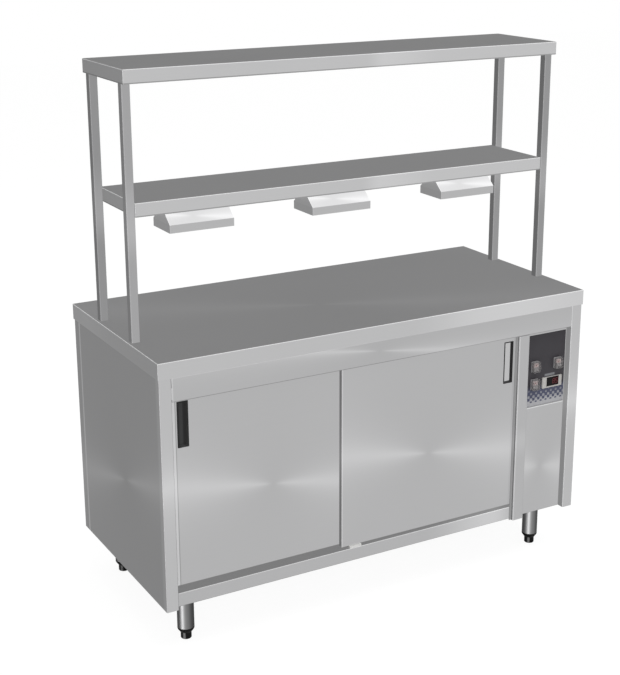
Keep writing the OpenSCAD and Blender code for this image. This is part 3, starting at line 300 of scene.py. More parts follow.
def two_lobes(plane, middle, lean, *strengths):
    """A wide painted bow-tie highlight with a thinner one inside it, each given as (gain, pinch)."""
    return [(plane, middle, lean, *strength) for strength in strengths]


def steel(name, grey, roughness=0.32, grain="x", glare=(), extra=None, edge_tint=1.0,
          streaks=0.05, metallic=1.0, spread=(0.5, 1.5)):
    """Brushed steel. glare lists painted bow-tie highlights as (plane, middle, lean, gain, pinch);
    extra adds painted highlights and painted shade.
    """
    material, paint = new_material(name)
    point, x, y, z = paint.place()
    axis = {"x": x, "y": y, "z": z}
    scratch = paint.noise(point, tuple(GRAIN_LONG if a == grain else GRAIN_FINE for a in "xyz"), 3.0)
    cloud = paint.noise(point, (3.1, 3.7, 2.9), 2.0)
    # shine starts as the grain's own tone. The painted highlights of glare and the painted light and
    # shade of extra are added to it.
    shine = (scratch - 0.5) * streaks + (cloud - 0.5) * 0.04
    for plane, middle, lean, gain, pinch in glare:
        shine = shine + lobes(axis[plane[0]], axis[plane[1]], middle, lean, gain, pinch)
    if extra:
        shine = shine + extra(x, y, z)
    colour = (grey, grey, grey + MORE_BLUE)
    dark, light = [tuple(c * share for c in colour) for share in spread]
    edge = (edge_tint, edge_tint, edge_tint, 1.0)
    paint.surface({
        "Base Color": paint.mix(0.5 + shine, dark, light), "Metallic": metallic, "Specular Tint": edge,
        "Roughness": roughness + (scratch - 0.5) * 0.10 + (cloud - 0.5) * 0.06,
        "Normal": paint.bump(scratch, 0.25, 0.00004)})
    return material


SHEET, SIDE = 0.545, 0.59    # the greys of the front's sheets and of the sides


def painted_fold_highlight(value, start, end, gain):
    """A thin painted highlight along a fold, between two coordinates."""
    return value.rise(start, end) * gain


def worktop_shine(x, y, z):
    # Painted highlights: a bright patch on the front face a little right of its middle, and a lighter
    # left face, lighter still towards the back.
    front_face = y.rise(-0.325, -0.332)
    left_face = x.rise(-0.7345, -0.7355)
    return (x.hump(0.344, 0.28, 0.40, 0.5) * 0.13 * front_face
            + left_face * (0.16 + 0.05 * y.rise(-0.3, 0.3)))


side_lobes = two_lobes("yz", (-0.051, 0.455), -15.2, (0.15, 18), (0.12, 60))
back_lobes = two_lobes("xz", (0.05, 0.50), 8.0, (0.16, 16), (0.14, 60))


def left_side_shine(x, y, z):
    """Painted light: a highlight on the front stile's outer fold, painted shade on its inner edge and
    return, and a painted highlight at the seam of the back.
    """
    stile = painted_fold_highlight(x, -0.731, -0.7325, 0.15) - x.rise(-0.6985, -0.6965) * 0.40
    return stile * y.rise(-0.3, -0.318) + y.rise(0.284, 0.286) * 0.44


def right_side_shine(x, y, z):
    # Painted light: a highlight on the front stile's inner fold, and its return painted a little
    # lighter.
    return (painted_fold_highlight(x, 0.6985, 0.6965, 0.22) * y.rise(-0.3275, -0.3285)
            + x.rise(0.700, 0.697) * y.rise(-0.3285, -0.3275) * 0.1)


def back_shine(x, y, z):
    """The returns of the back carry the side's painted bow-tie highlight, its broad face has one of its
    own, and a painted highlight runs along the seam.
    """
    back = y.rise(0.3285, 0.3300)
    side = sum(lobes(y, z, *rest) for plane, *rest in side_lobes)
    broad = sum(lobes(x, z, *rest) for plane, *rest in back_lobes)
    return side * (1.0 - back) + broad * back + y.rise(0.2955, 0.2935) * 0.46


dress(steel("worktop_steel", 0.61, extra=worktop_shine, edge_tint=0.88,
            glare=[("xy", (-0.08, -0.055), -23, 0.11, 30)]), "worktop")
dress(steel("side_steel", SIDE, grain="z", glare=side_lobes, extra=left_side_shine),
      "side_panel_left")
dress(steel("right_side_steel", SIDE, grain="z", glare=side_lobes, extra=right_side_shine),
      "side_panel_right")
dress(steel("back_steel", SIDE, grain="z", extra=back_shine), "back_panel")
print("worktop and sides are dressed")

# %% [markdown]
# ## Doors, rails and covers
# Each sheet gets its own painted bow-tie highlight. Their middles and leans are read off the
# photograph and turned into metres on the sheet. On the narrow rails only a slice of the pattern
# shows, which looks like one soft bright patch. Bright lines on folds and dark lines in laps and
# returns are painted highlights and painted shade.

# %% Dress the front
def left_door_shine(x, y, z):
    """A painted highlight along the fold of the left edge, with a painted shade line beside it."""
    return x.rise(-0.6675, -0.6690) * 0.24 - x.within(-0.6680, -0.6655) * 0.35


def right_door_shine(x, y, z):
    """A painted highlight on the left edge's fold, painted shade on the return there, and faint painted
    shade at the right end.
    """
    face = y.rise(-0.3028, -0.3040)
    edge = painted_fold_highlight(x, -0.1385, -0.1405, 0.28) + x.rise(-0.138, -0.142) * (face - 1.0) * 0.52
    return edge - x.rise(0.4840, 0.4870) * 0.08


for side, middle, shine in (("left", (-0.362, 0.450), left_door_shine),
                            ("right", (0.170, 0.445), right_door_shine)):
    glare = two_lobes("xz", middle, -9.2, (0.15, 14), (0.14, 60))
    dress(steel(f"door_{side}_steel", SHEET, glare=glare, extra=shine), f"door_{side}_outer")
# The cover and the control panel get a painted bow-tie highlight and a thin painted highlight line just
# below the label's foot.
dress(steel("cover_steel", SHEET, glare=[("xz", (0.608, 0.310), -10.5, 0.28, 4.6)],
            extra=lambda x, y, z: z.within(0.5195, 0.5225) * 0.12), "access_cover", "control_panel")
# The header gets a painted bow-tie highlight, painted shade along its lower edge and a painted
# highlight on its left end.
dress(steel("header_steel", 0.525,
            glare=two_lobes("xz", (-0.029, 0.820), -8.1, (0.24, 420), (0.06, 40)),
            extra=lambda x, y, z: z.rise(0.7845, 0.7825) * -0.30
            + painted_fold_highlight(x, -0.6905, -0.6925, 0.22)),
      "header_rail")
# The sill gets a painted highlight towards its right end and painted shade along its lower edge.
dress(steel("sill_steel", SHEET, extra=lambda x, y, z: x.hump(0.42, 0.28, 0.11) * 0.32
            - z.rise(0.153, 0.1515) * 0.25), "sill_rail")
# The centre stile gets a painted highlight at mid height and on its left fold, and painted shade deep
# in its left return.
dress(steel("stile_steel", SHEET, grain="z",
            extra=lambda x, y, z: z.hump(0.427, 0.07, 0.06) * 0.10 + painted_fold_highlight(x, 0.4940, 0.491, 0.26)
            - x.rise(0.4905, 0.4895) * y.rise(-0.3285, -0.3265) * 0.62), "centre_stile")
print("front dressed")

# %% [markdown]
# ## Gantry steel
# The shelves are folded from the same sheet as the worktop. The posts are polished square tube,
# a little darker, with a painted highlight at half their height. Highlights and shade on shelves,
# posts, lamps and legs are painted into the colour. What repeats is written once: signs of X and Y
# pick the post or leg, and a modulo the place on a lamp.

# %% Dress the gantry, the lamps and the legs
def shelf_shine(front, end, under):
    """Painted light: a highlight on the front edge a little right of its middle and on the left end,
    and painted shade on the fold under the front edge.
    """
    return lambda x, y, z: (x.hump(0.093, 0.07, 0.22, 0.25) * 0.13
                            * y.rise(front + 0.006, front + 0.001)
                            + x.rise(end + 0.0015, end + 0.0005) * 0.16
                            - z.rise(under + 0.0038, under + 0.0028) * 0.40)


for tier, places, edge_tint in (("upper", (-0.150, -0.7285, 1.6285), 0.75),
                                ("lower", (-0.130, -0.7006, 1.2594), 0.84)):
    dress(steel(tier + "_shelf_steel", 0.63, extra=shelf_shine(*places), edge_tint=edge_tint),
          f"gantry_{tier}_shelf")

POST_X, POST_MIDDLE_Y, POST_Y = 0.714, 0.00435, 0.12185     # a post stands at X, middle Y + Y
LEG_X, LEG_MIDDLE_Y, LEG_Y = 0.636, 0.0120, 0.2475          # and a leg too, with its own numbers
LEG_RADIUS, FOOT_RADIUS = 0.0254, 0.016
WINDOW_SIDE = (0.713, 0.701)    # the way across a leg, as seen from the window
LAMP_PITCH = 0.4667


def post_shine(x, y, z):
    """A post gets a painted highlight at half height and at its nearest corner, and painted shade
    darkens the right posts and the rear left one.
    """
    deep = y - POST_MIDDLE_Y
    corner = ((x - x.maths("SIGN") * POST_X).rise(-0.0092, -0.0105)
              * (deep - deep.maths("SIGN") * POST_Y).rise(-0.0102, -0.0115))
    return (z.hump(1.22, 0.10, 0.18) * 0.20 - x.rise(-0.3, 0.3) * 0.18
            - y.rise(0.0, 0.1) * x.rise(0.3, -0.3) * 0.22 + corner * 0.14)


dress(steel("post_steel", 0.45, 0.30, "z", extra=post_shine), "gantry_posts")


def lamp_shine(x, y, z):
    """Folding X over one pitch gives all three housings the same painted bow-tie highlight on their
    slopes, and paints their ends lighter.
    """
    local_x = (x + 1.5 * LAMP_PITCH) % LAMP_PITCH - LAMP_PITCH / 2
    slope = lobes(local_x, z, (-0.020, 1.2235), -5.9, 0.26, 150) + 0.06
    return slope * z.rise(1.206, 1.208) + abs(local_x).rise(0.1005, 0.1015) * 0.30


dress(steel("lamp_steel", 0.56, 0.30, extra=lamp_shine), "lamp_housings")


def round_leg(x, y, radius):
    """How far round a leg a point lies, -1 to 1, measured from the side that faces the window, where
    the painted highlight lies.
    """
    local_x = x - x.maths("SIGN") * LEG_X
    local_y = y - LEG_MIDDLE_Y - y.maths("SIGN") * LEG_Y
    return (local_x * WINDOW_SIDE[0] - local_y * WINDOW_SIDE[1]) / radius


def tube_shade(x, y, z):
    """A round tube gets one painted upright highlight. Its sides fall off like a bell into painted
    shade.
    """
    turn = round_leg(x, y, LEG_RADIUS)
    bell = 1.0 / (1.0 + (turn / 0.19) ** 2.0)
    return bell * 0.88 - 0.37 - turn.rise(-0.1, -0.5) * 0.07 - turn.rise(0.6, 1.0) * 0.11


PLAIN = 0.50
dress(steel("leg_steel", PLAIN, 0.50, "z", extra=tube_shade, spread=(0.05, 1.95)), "leg_tubes")
dress(steel("lining_steel", 0.55, 0.36, metallic=0.45),
      "lining_walls", "lining_floor", "inner_shelf", "door_left_inner", "door_right_inner",
      "shelf_supports")
dress(steel("structure_steel", PLAIN, 0.42, streaks=0.08, metallic=0.6),
      "worktop_stiffeners", "base_pan", "bay_partition", "post_flanges", "lamp_brackets",
      "fixing_bolts", "door_left_hangers", "door_right_hangers", "element_guard")
print("steel finishes:", len([m for m in bpy.data.materials if m.name.endswith("_steel")]))

# %% [markdown]
# ## What the steel mirrors
# Two polished sheets side by side would mirror each other's dark backs at every lap. The
# photograph's steel mirrors only the studio, and its laps stay clean. So the nodes are hidden from
# mirror rays alone: they still cast shadows and hide what is behind them. The steel inside the
# cupboard is satin, partly matt, so that shade can gather in its corners.

# %% Hide the nodes from mirror rays
for node in nodes.values():
    node.visible_glossy = False
print(len(nodes), "nodes mirror the studio alone")

# %% [markdown]
# ## Moulded plastic, rubber and other plain stuff
# Plastic parts come out of a mould with a faint spark-eroded grain and are never one even tone:
# they hold a little dust in the low spots and are polished where fingers touch. One recipe with a
# grain size, a mottle and a gloss covers them all.

# %% One recipe for moulded pieces
def moulded(name, colour, roughness, grain=1400.0, mottle=0.10, coat=0.0, bump=0.10,
            gleam=0.5, extra=None):
    """extra gets the paint, X, Y, Z and the mottled colour, and returns another colour."""
    material, paint = new_material(name)
    point, x, y, z = paint.place()
    fine = paint.noise(point, grain, 2.0)
    soft = paint.noise(point, 26.0, 3.0)
    dusty = tuple(min(c * (1.0 + mottle) + 0.012, 1.0) for c in colour)
    tone = paint.mix(soft * 0.7 + fine * 0.3, colour, dusty)
    if extra:
        tone = extra(paint, x, y, z, tone)
    paint.surface({
        "Base Color": tone, "Coat Weight": coat, "Specular IOR Level": gleam,
        "Normal": paint.bump(fine, bump, 0.00008),
        "Roughness": roughness + (fine - 0.5) * 0.12 + (soft - 0.5) * 0.10})
    return material


def foot_painted_highlight(paint, x, y, z, tone):
    """A foot gets the same painted upright highlight as its leg, but not on the shoulder above it."""
    turn = round_leg(x, y, FOOT_RADIUS)
    line = turn.rise(-0.38, -0.05) * turn.rise(0.38, 0.05) * z.rise(0.026, 0.018)
    return paint.mix(line * 0.85, tone, (0.26, 0.26, 0.26))


foot_black = moulded("foot_plastic", (0.004, 0.004, 0.004), 0.20, mottle=0.0, gleam=0.03,
                     extra=foot_painted_highlight)
dress(foot_black, "foot_front_left", "foot_front_right", "foot_rear_left", "foot_rear_right",
      "leg_fittings")
dress(moulded("guide_nylon", (0.50, 0.50, 0.49), 0.45, gleam=0.3), "door_guide")
dress(moulded("wheel_nylon", (0.72, 0.70, 0.63), 0.35), "wheels_left_outer", "wheels_left_inner",
      "wheels_right_inner", "wheels_right_outer")
dress(moulded("buffer_rubber", (0.02, 0.02, 0.02), 0.75, grain=600.0, bump=0.3), "track_buffers")
dress(moulded("relay_plastic", (0.16, 0.17, 0.19), 0.5), "relay_and_terminals")
dress(moulded("gland_plastic", (0.02, 0.02, 0.021), 0.5), "cable_gland")
print("moulded pieces are dressed")

# %% [markdown]
# ## Door pulls
# Each pull is a black frame pressed into the door. In the shut left door the whole recess is
# black; in the right one a plate of satin steel closes the recess, so the frame reads as a black
# outline. The plate is modelled as its own pressing, with a rounded border.

# %% Helpers for shaped plates
def rounded_loop(x0, x1, z0, z1, radius, y, steps=5):
    """Points of a rounded rectangle that faces the front, anticlockwise as the viewer sees it."""
    points = []
    for cx, cz, start in ((x1 - radius, z0 + radius, -90), (x1 - radius, z1 - radius, 0),
                          (x0 + radius, z1 - radius, 90), (x0 + radius, z0 + radius, 180)):
        for i in range(steps + 1):
            a = math.radians(start + 90 * i / steps)
            points.append(Vector((cx + radius * math.cos(a), y, cz + radius * math.sin(a))))
    return points


def loft(shape, rings, close_start=True, close_end=True):
    """Skins a list of rings that have the same number of points."""
    rows = [[shape.verts.new(p) for p in ring] for ring in rings]
    for low, high in zip(rows, rows[1:]):
        for i in range(len(low)):
            j = (i + 1) % len(low)
            shape.faces.new((low[i], low[j], high[j], high[i]))
    if close_start:
        shape.faces.new(rows[0])
    if close_end:
        shape.faces.new(rows[-1])
    return rows


def ride_along(name, mesh, body, sharp):
    """Shades a mesh softly up to an angle and makes it a piece that rides on a body."""
    mesh.shade_smooth()
    mesh.set_sharp_from_angle(angle=math.radians(sharp))
    piece = add_to_scene(name, mesh)
    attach(piece, body)
    return piece


def into_piece(name, shape, material, body, sharp=32):
    """Turns a bmesh into a piece, with its normals out."""
    bmesh.ops.recalc_face_normals(shape, faces=shape.faces)
    mesh = bpy.data.meshes.new(name)
    shape.to_mesh(mesh)
    shape.free()
    mesh.materials.append(material)
    return ride_along(name, mesh, body, sharp)


MM = 0.001
pull_low, pull_high = [Vector(v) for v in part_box("door_right_pull")]
print("right pull box, mm:", [round(v / MM, 1) for v in (*pull_low, *pull_high)])

# %% Dress the pulls and close the right one
def pull_painted_highlight(paint, x, y, z, tone):
    """A painted highlight: a paler upright band down the middle of the left recess."""
    band = x.rise(-0.6535, -0.6485) * x.rise(-0.637, -0.642)
    return paint.mix(band * z.rise(0.757, 0.750), tone, (0.040, 0.040, 0.041))


dress(moulded("pull_plastic", (0.009, 0.009, 0.0095), 0.5, mottle=0.2, gleam=0.22, extra=pull_painted_highlight),
      "door_left_pull", "door_right_pull")
plate = bmesh.new()
rim, back = 3.2 * MM, pull_low.y + 12.9 * MM
edge = [pull_low.x + rim, pull_high.x - rim, pull_low.z + rim, pull_high.z - rim]


def plate_ring(inset, out):
    """One outline of the plate, its inset and its distance from the back in millimetres."""
    inset *= MM
    return rounded_loop(edge[0] + inset, edge[1] - inset, edge[2] + inset, edge[3] - inset,
                        1.6 * MM, back - out * MM)


PLATE_STEPS = ((0.0, 0.0), (0.0, 0.5), (0.4, 0.9), (2.2, 0.9), (3.0, 0.4))
loft(plate, [plate_ring(*step) for step in PLATE_STEPS])
plate_steel = steel("pull_plate_steel", 0.62, 0.34, "z")
into_piece("right_pull_plate", plate, plate_steel, "right_door")
print("pull plate stands", round((back - pull_low.y) / MM, 1), "mm behind the frame's face")

# %% [markdown]
# ## The printed control label
# The label is charcoal film that fades into silver at its foot. Printers make such a fade with a
# screen of dots: where the ink should look paler its dots shrink. The same trick works in a
# shader. Two cosine waves give a bumpy grid, and a threshold that climbs with the height cuts
# dots of the right size out of it.

# %% Print the label
def ink(red, green, blue):
    """A printed colour, given as on a screen from 0 to 255, in the linear values of a shader."""
    return tuple(((v / 255 + 0.055) / 1.055) ** 2.4 if v > 10 else v / 3295 for v in (red, green, blue))


DOT_PITCH = 20.0 * MM
FADE_TOP, FADE_FOOT = 0.590, 0.540


def label_print(paint, x, y, z, tone):
    """Charcoal above, the screen of dots below, a thin line of painted shade at the foot and a grey
    bar.
    """
    wave_x = (x * (math.tau / DOT_PITCH)).maths("COSINE")
    wave_z = (z * (math.tau / DOT_PITCH)).maths("COSINE")
    paler = ((FADE_TOP - z) / (FADE_TOP - FADE_FOOT)).at_least(0.0).at_most(1.0)
    dot = (wave_x * wave_z - paler + 0.75).rise(-0.15, 0.15) * z.rise(FADE_FOOT - 0.001, FADE_FOOT)
    dot = dot.at_least(z.above(FADE_TOP))
    dark = paint.mix(z.rise(0.600, 0.575), tone, ink(70, 73, 92))
    pale = paint.mix(paler, ink(82, 85, 100), ink(156, 156, 159))
    print_and_shade = paint.mix(dot, pale, dark)
    # A thin line of painted shade along the label's foot.
    print_and_shade = paint.mix(z.rise(0.5292, 0.5278) * 0.5, print_and_shade, ink(110, 110, 112))
    bar = x.within(0.612, 0.652) * z.within(0.621, 0.629)
    return paint.mix(bar, print_and_shade, ink(116, 117, 120))


dress(moulded("label_film", ink(52, 50, 54), 0.45, grain=2600.0, mottle=0.04, bump=0.03, gleam=0.2,
              extra=label_print), "control_label")
print("dot screen:", round((FADE_TOP - FADE_FOOT) / DOT_PITCH * 2), "staggered rows of dots")

# %% [markdown]
# ## Switches
# The rockers are grey with a paler upper half, where the lamp behind them shines through. A red
# lens sits in that half. Over each switch stands a splash boot: a clear box of milky silicone that
# keeps steam out. It is thin and half see-through, so it is modelled as a real skin with an
# inside, and its alpha lets the rocker show through.

# %% Dress the rockers and frames
ROCKERS = ("rocker_cupboard", "rocker_lamps", "rocker_power")
SWITCH_ROWS = (0.602, 0.662)    # heights of the two rows of switches, metres


def lit_half(paint, x, y, z, tone):
    """The upper half of each rocker is paler."""
    upper = sum(z.within(height - 0.001, height + 0.012, 0.002) for height in SWITCH_ROWS)
    return paint.mix(upper, tone, ink(206, 186, 182))


dress(moulded("rocker_plastic", ink(140, 136, 136), 0.38, extra=lit_half, coat=0.1), *ROCKERS)
dress(moulded("switch_plastic", ink(150, 148, 150), 0.4), "switch_frames")
print("rockers and frames are dressed")

# %% Mould the splash boots
switch_places = []
for name in ROCKERS:
    low, high = [Vector(v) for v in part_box(name)]
    row = min(SWITCH_ROWS, key=lambda height: abs(height - (low.z + high.z) / 2))
    switch_places.append((name, (low.x + high.x) / 2, row))
label_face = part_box("control_label")[0][1]
BOOT_DEPTH = 17 * MM
# Half width, half height, distance out of the label and corner radius of each ring, millimetres
BOOT_OUTSIDE = [(14.0, 17.5, 4.1, 2.0), (13.8, 17.3, 15.2, 2.2), (13.4, 16.9, 16.5, 2.4),
                (12.2, 15.7, 17.0, 2.6)]
BOOT_INSIDE = [(13.2, 16.7, 4.1, 1.6), (12.9, 16.4, 14.5, 1.6), (12.6, 16.1, 15.5, 1.9),
               (11.8, 15.3, 16.0, 2.2)]


def boot_ring(x, z, half_w, half_h, out, radius):
    return rounded_loop(x - half_w, x + half_w, z - half_h, z + half_h, radius, label_face - out, 4)


def boot_material():
    material, paint = new_material("boot_silicone")
    point, x, y, z = paint.place()
    cloudy = paint.noise(point, 160.0, 2.0)
    out = (label_face - y) / BOOT_DEPTH
    paint.surface({"Base Color": paint.mix(cloudy, ink(118, 116, 118), ink(138, 135, 135)),
                   "Roughness": 0.30 + cloudy * 0.12, "Specular IOR Level": 0.3,
                   "Alpha": 0.42 - out.rise(0.86, 0.95) * 0.24 + cloudy * 0.06,
                   "Normal": paint.bump(cloudy, 0.15, 0.0002)})
    return material


boots = bmesh.new()
for name, x, z in switch_places:
    wall, face = [loft(boots, [boot_ring(x, z, *[v * MM for v in ring]) for ring in rings],
                       close_start=False) for rings in (BOOT_INSIDE, BOOT_OUTSIDE)]
    for i in range(len(wall[0])):
        j = (i + 1) % len(wall[0])
        boots.faces.new((wall[0][i], wall[0][j], face[0][j], face[0][i]))
boot_piece = into_piece("switch_boots", boots, boot_material(), "cabinet", 50)
print("boots moulded:", len(boot_piece.data.polygons), "faces")

# %% [markdown]
# ## Lenses
# A lens is a small dome. Turning a short curve round an axis makes it, and the axis is tipped by
# the angle at which the rocker rests, so the dome stands square on the plastic.

# %% Turn the lenses
def turned(shape, profile, origin, axis, steps=20, bored=False):
    """Turns (radius, height) points round an axis. A bored section closes on itself."""
    spin = Vector((0, 0, 1)).rotation_difference(Vector(axis).normalized())
    rings = [[Vector(origin) + spin @ Vector((r * math.cos(math.tau * i / steps),
                                              r * math.sin(math.tau * i / steps), h))
              for i in range(steps)] for r, h in profile]
    rows = loft(shape, rings, not bored, not bored)
    if bored:
        for i in range(steps):
            j = (i + 1) % steps
            shape.faces.new((rows[-1][i], rows[-1][j], rows[0][j], rows[0][i]))
    return rows


lens_red, lens_paint = new_material("lens_red")
point = lens_paint.place()[0]
ripple = lens_paint.noise(point, 700.0, 1.0)
lens_paint.surface({"Base Color": lens_paint.mix(ripple, ink(120, 22, 22), ink(196, 60, 54)),
                    "Roughness": 0.12 + ripple * 0.1, "Coat Weight": 0.6,
                    "Normal": lens_paint.bump(ripple, 0.2, 0.0001)})
REST_TIP = math.radians(9)
LENS_OUT, LENS_UP = 6.3 * MM, 6.0 * MM    # from the rocker's pivot, square to it and along it
LENS = [(1.9, -0.3), (1.9, 0.25), (1.6, 0.55), (1.1, 0.8), (0.5, 0.95), (0.12, 0.98)]
outward = Vector((0, -math.cos(REST_TIP), math.sin(-REST_TIP)))
upward = Vector((0, -math.sin(REST_TIP), math.cos(REST_TIP)))
for name, x, z in switch_places:
    pivot = Vector((x, label_face - 1.0 * MM, z))
    dome = bmesh.new()
    turned(dome, [(r * MM, h * MM) for r, h in LENS],
           pivot + outward * LENS_OUT + upward * LENS_UP, outward)
    into_piece("lens_" + name.replace("rocker_", ""), dome, lens_red, name, 50)
print("3 lenses on rockers")

# %% [markdown]
# ## Shoulders of the feet
# The black end of each leg runs down in a shoulder that clears the foot all round. It is turned
# like a lens, but its section closes on itself, so it has a bore in which the foot can slide.

# %% Turn the shoulders
# Radius and height above the floor round the section, millimetres: down the outside, up the bore
section = [(25.3, 37.9), (25.4, 37.4), (25.4, 33.0), (24.8, 31.4), (17.9, 21.6), (17.4, 21.0),
           (16.9, 21.4), (16.8, 22.0), (16.8, 29.8), (24.4, 36.4), (24.4, 37.9)]
shoulders = bmesh.new()
leg_low, leg_high = [Vector(v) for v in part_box("leg_tubes")]
for leg_x in (leg_low.x + LEG_RADIUS, leg_high.x - LEG_RADIUS):
    for leg_y in (leg_low.y + LEG_RADIUS, leg_high.y - LEG_RADIUS):
        turned(shoulders, [(r * MM, z * MM) for r, z in section], (leg_x, leg_y, 0.0), (0, 0, 1),
               48, True)
into_piece("leg_shoulders", shoulders, foot_black, "cabinet", 30)
print("last shoulder turned at, mm:", [round(v / MM, 1) for v in (leg_x, leg_y)])

# %% [markdown]
# ## The temperature display
# A seven-segment digit is seven slim lozenges. A string of letters says which of them are lit.
# They are separate slips just proud of the dark window, and glow a dim red. Two digits show a
# plain number of degrees.

# %% Draw the digits
SHOWN = "85"
SEGMENTS = {"8": "abcdefg", "5": "acdfg"}
window_low, window_high = [Vector(v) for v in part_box("controller_window")]
digit_w, digit_h, stroke, digit_lean = 8.5 * MM, 15.0 * MM, 1.7 * MM, 0.09
digit_step, gap = 11.5 * MM, 0.35 * MM    # from digit to digit, and at each end of a segment


def slip(shape, start, end, front, thick=0.12 * MM):
    """A lozenge between two points of the window plane."""
    start, end = Vector(start), Vector(end)
    way = (end - start).normalized()
    side = Vector((-way.y, way.x)) * stroke / 2
    tip = way * stroke / 2
    flat = [start, start + tip + side, end - tip + side, end, end - tip - side, start + tip - side]
    rings = [[Vector((p.x, y, p.y)) for p in flat] for y in (front, front - thick)]
    loft(shape, rings)


display = bmesh.new()
centre_z = (window_low.z + window_high.z) / 2
first_x = (window_low.x + window_high.x) / 2 - 0.5 * MM
top, middle, foot = centre_z + digit_h / 2, centre_z, centre_z - digit_h / 2
ends = {"a": ((0, top), (digit_w, top)), "g": ((0, middle), (digit_w, middle)),
        "d": ((0, foot), (digit_w, foot)), "f": ((0, top), (0, middle)),
        "b": ((digit_w, top), (digit_w, middle)), "e": ((0, middle), (0, foot)),
        "c": ((digit_w, middle), (digit_w, foot))}
for place, digit in enumerate(SHOWN):
    left = first_x + place * digit_step
    for letter in SEGMENTS[digit]:
        (ax, az), (bx, bz) = ends[letter]
        a = Vector((left + ax + (az - foot) * digit_lean, az))
        b = Vector((left + bx + (bz - foot) * digit_lean, bz))
        short = (b - a).normalized() * gap
        slip(display, a + short, b - short, window_low.y - 0.02 * MM)
glow, glow_paint = new_material("display_red")
point = glow_paint.place()[0]
uneven = glow_paint.noise(point, 420.0, 1.0)
glow_paint.surface({"Base Color": glow_paint.mix(uneven, ink(50, 7, 10), ink(64, 10, 13)),
                    "Emission Color": glow_paint.mix(uneven, ink(104, 10, 22), ink(128, 20, 32)),
                    "Emission Strength": 0.35, "Roughness": 0.4})
into_piece("display_digits", display, glow, "cabinet")
dress(moulded("controller_plastic", ink(166, 164, 161), 0.4, mottle=0.03, gleam=0.25),
      "controller_case")


def window_painted_glow(paint, x, y, z, tone):
    """A painted glow: the lit side of the window shows a little red behind the smoke."""
    near = (x.rise(0.636, 0.652) * x.rise(0.672, 0.662)
            * z.rise(0.586, 0.594) * z.rise(0.617, 0.609))
    return paint.mix(near * 0.8, tone, ink(34, 6, 10))


dress(moulded("display_window", ink(6, 5, 6), 0.14, mottle=0.0, bump=0.01, gleam=0.08, extra=window_painted_glow),
      "controller_window")
print("display shows", sum(len(SEGMENTS[digit]) for digit in SHOWN), "lit segments")

# %% [markdown]
# ## Metals and wool inside
# The rest is seen when a door is open or from below: aluminium track, the sheathed heating
# elements that turn straw and blue where they run hottest, the bright lamp reflectors, and the
# mineral wool behind the lining. Each one gets the marks of its own trade.

# %% Dress the inner metals
def plain_metal(name, colours, roughness, scale, bump=0.2, tint=None):
    """Metal with a mottle between two colours. tint gets the paint, the place and the colour."""
    material, paint = new_material(name)
    point, x, y, z = paint.place()
    wear = paint.noise(point, scale, 3.0)
    colour = paint.mix(wear.rise(0.25, 0.75), *colours)
    if tint:
        colour = tint(paint, point, x, y, z, colour)
    paint.surface({"Base Color": colour, "Metallic": 1.0, "Roughness": roughness + (wear - 0.5) * 0.2,
                   "Normal": paint.bump(wear, bump, 0.00006)})
    return material


def heat_tint(paint, point, x, y, z, colour):
    """Patches darkened by heat."""
    hot = paint.noise(point, (5.0, 5.0, 9.0), 2.0).rise(0.35, 0.65)
    return paint.mix(hot * 0.75, colour, (0.17, 0.13, 0.15))


dress(plain_metal("track_aluminium", ((0.60, 0.61, 0.63), (0.72, 0.73, 0.75)), 0.30,
                  (12.0, 900.0, 900.0)), "top_track")
dress(plain_metal("element_steel", ((0.20, 0.19, 0.17), (0.36, 0.33, 0.28)), 0.42,
                  (60.0, 60.0, 300.0), tint=heat_tint), "heating_elements")
dress(plain_metal("probe_steel", ((0.52, 0.52, 0.52), (0.66, 0.66, 0.66)), 0.26,
                  (900.0, 40.0, 900.0)), "temperature_probe")
dress(plain_metal("reflector_aluminium", ((0.84, 0.84, 0.85), (0.92, 0.92, 0.93)), 0.16,
                  (70.0, 900.0, 70.0), 0.08), "lamp_reflectors")
dress(plain_metal("guard_steel", ((0.55, 0.55, 0.56), (0.70, 0.70, 0.71)), 0.24,
                  120.0), "lamp_guards")
wool, wool_paint = new_material("mineral_wool")
point = wool_paint.place()[0]
layer = wool_paint.noise(point, (90.0, 90.0, 420.0), 5.0)
tuft = wool_paint.noise(point, 38.0, 3.0)
fibre = layer * 0.6 + tuft * 0.4
straw = wool_paint.mix(fibre.rise(0.3, 0.7), (0.22, 0.17, 0.07), (0.50, 0.42, 0.20))
wool_paint.surface({"Base Color": straw,
                    "Roughness": 0.85 + fibre * 0.1, "Sheen Weight": 0.3,
                    "Normal": wool_paint.bump(fibre, 0.7, 0.0012)})
dress(wool, "insulation_slabs")
print("inner metals and wool are dressed")

# %% [markdown]
# ## Geometry Nodes for what repeats
# Rivets, ribs and coils are the same small shape many times over, or one shape swept along a
# rule. A Geometry Nodes tree makes them from a few named sizes. The tree is built here in Python
# with one method that makes any node. Its result is turned into a plain mesh, because the
# exported model can't hold a live tree.

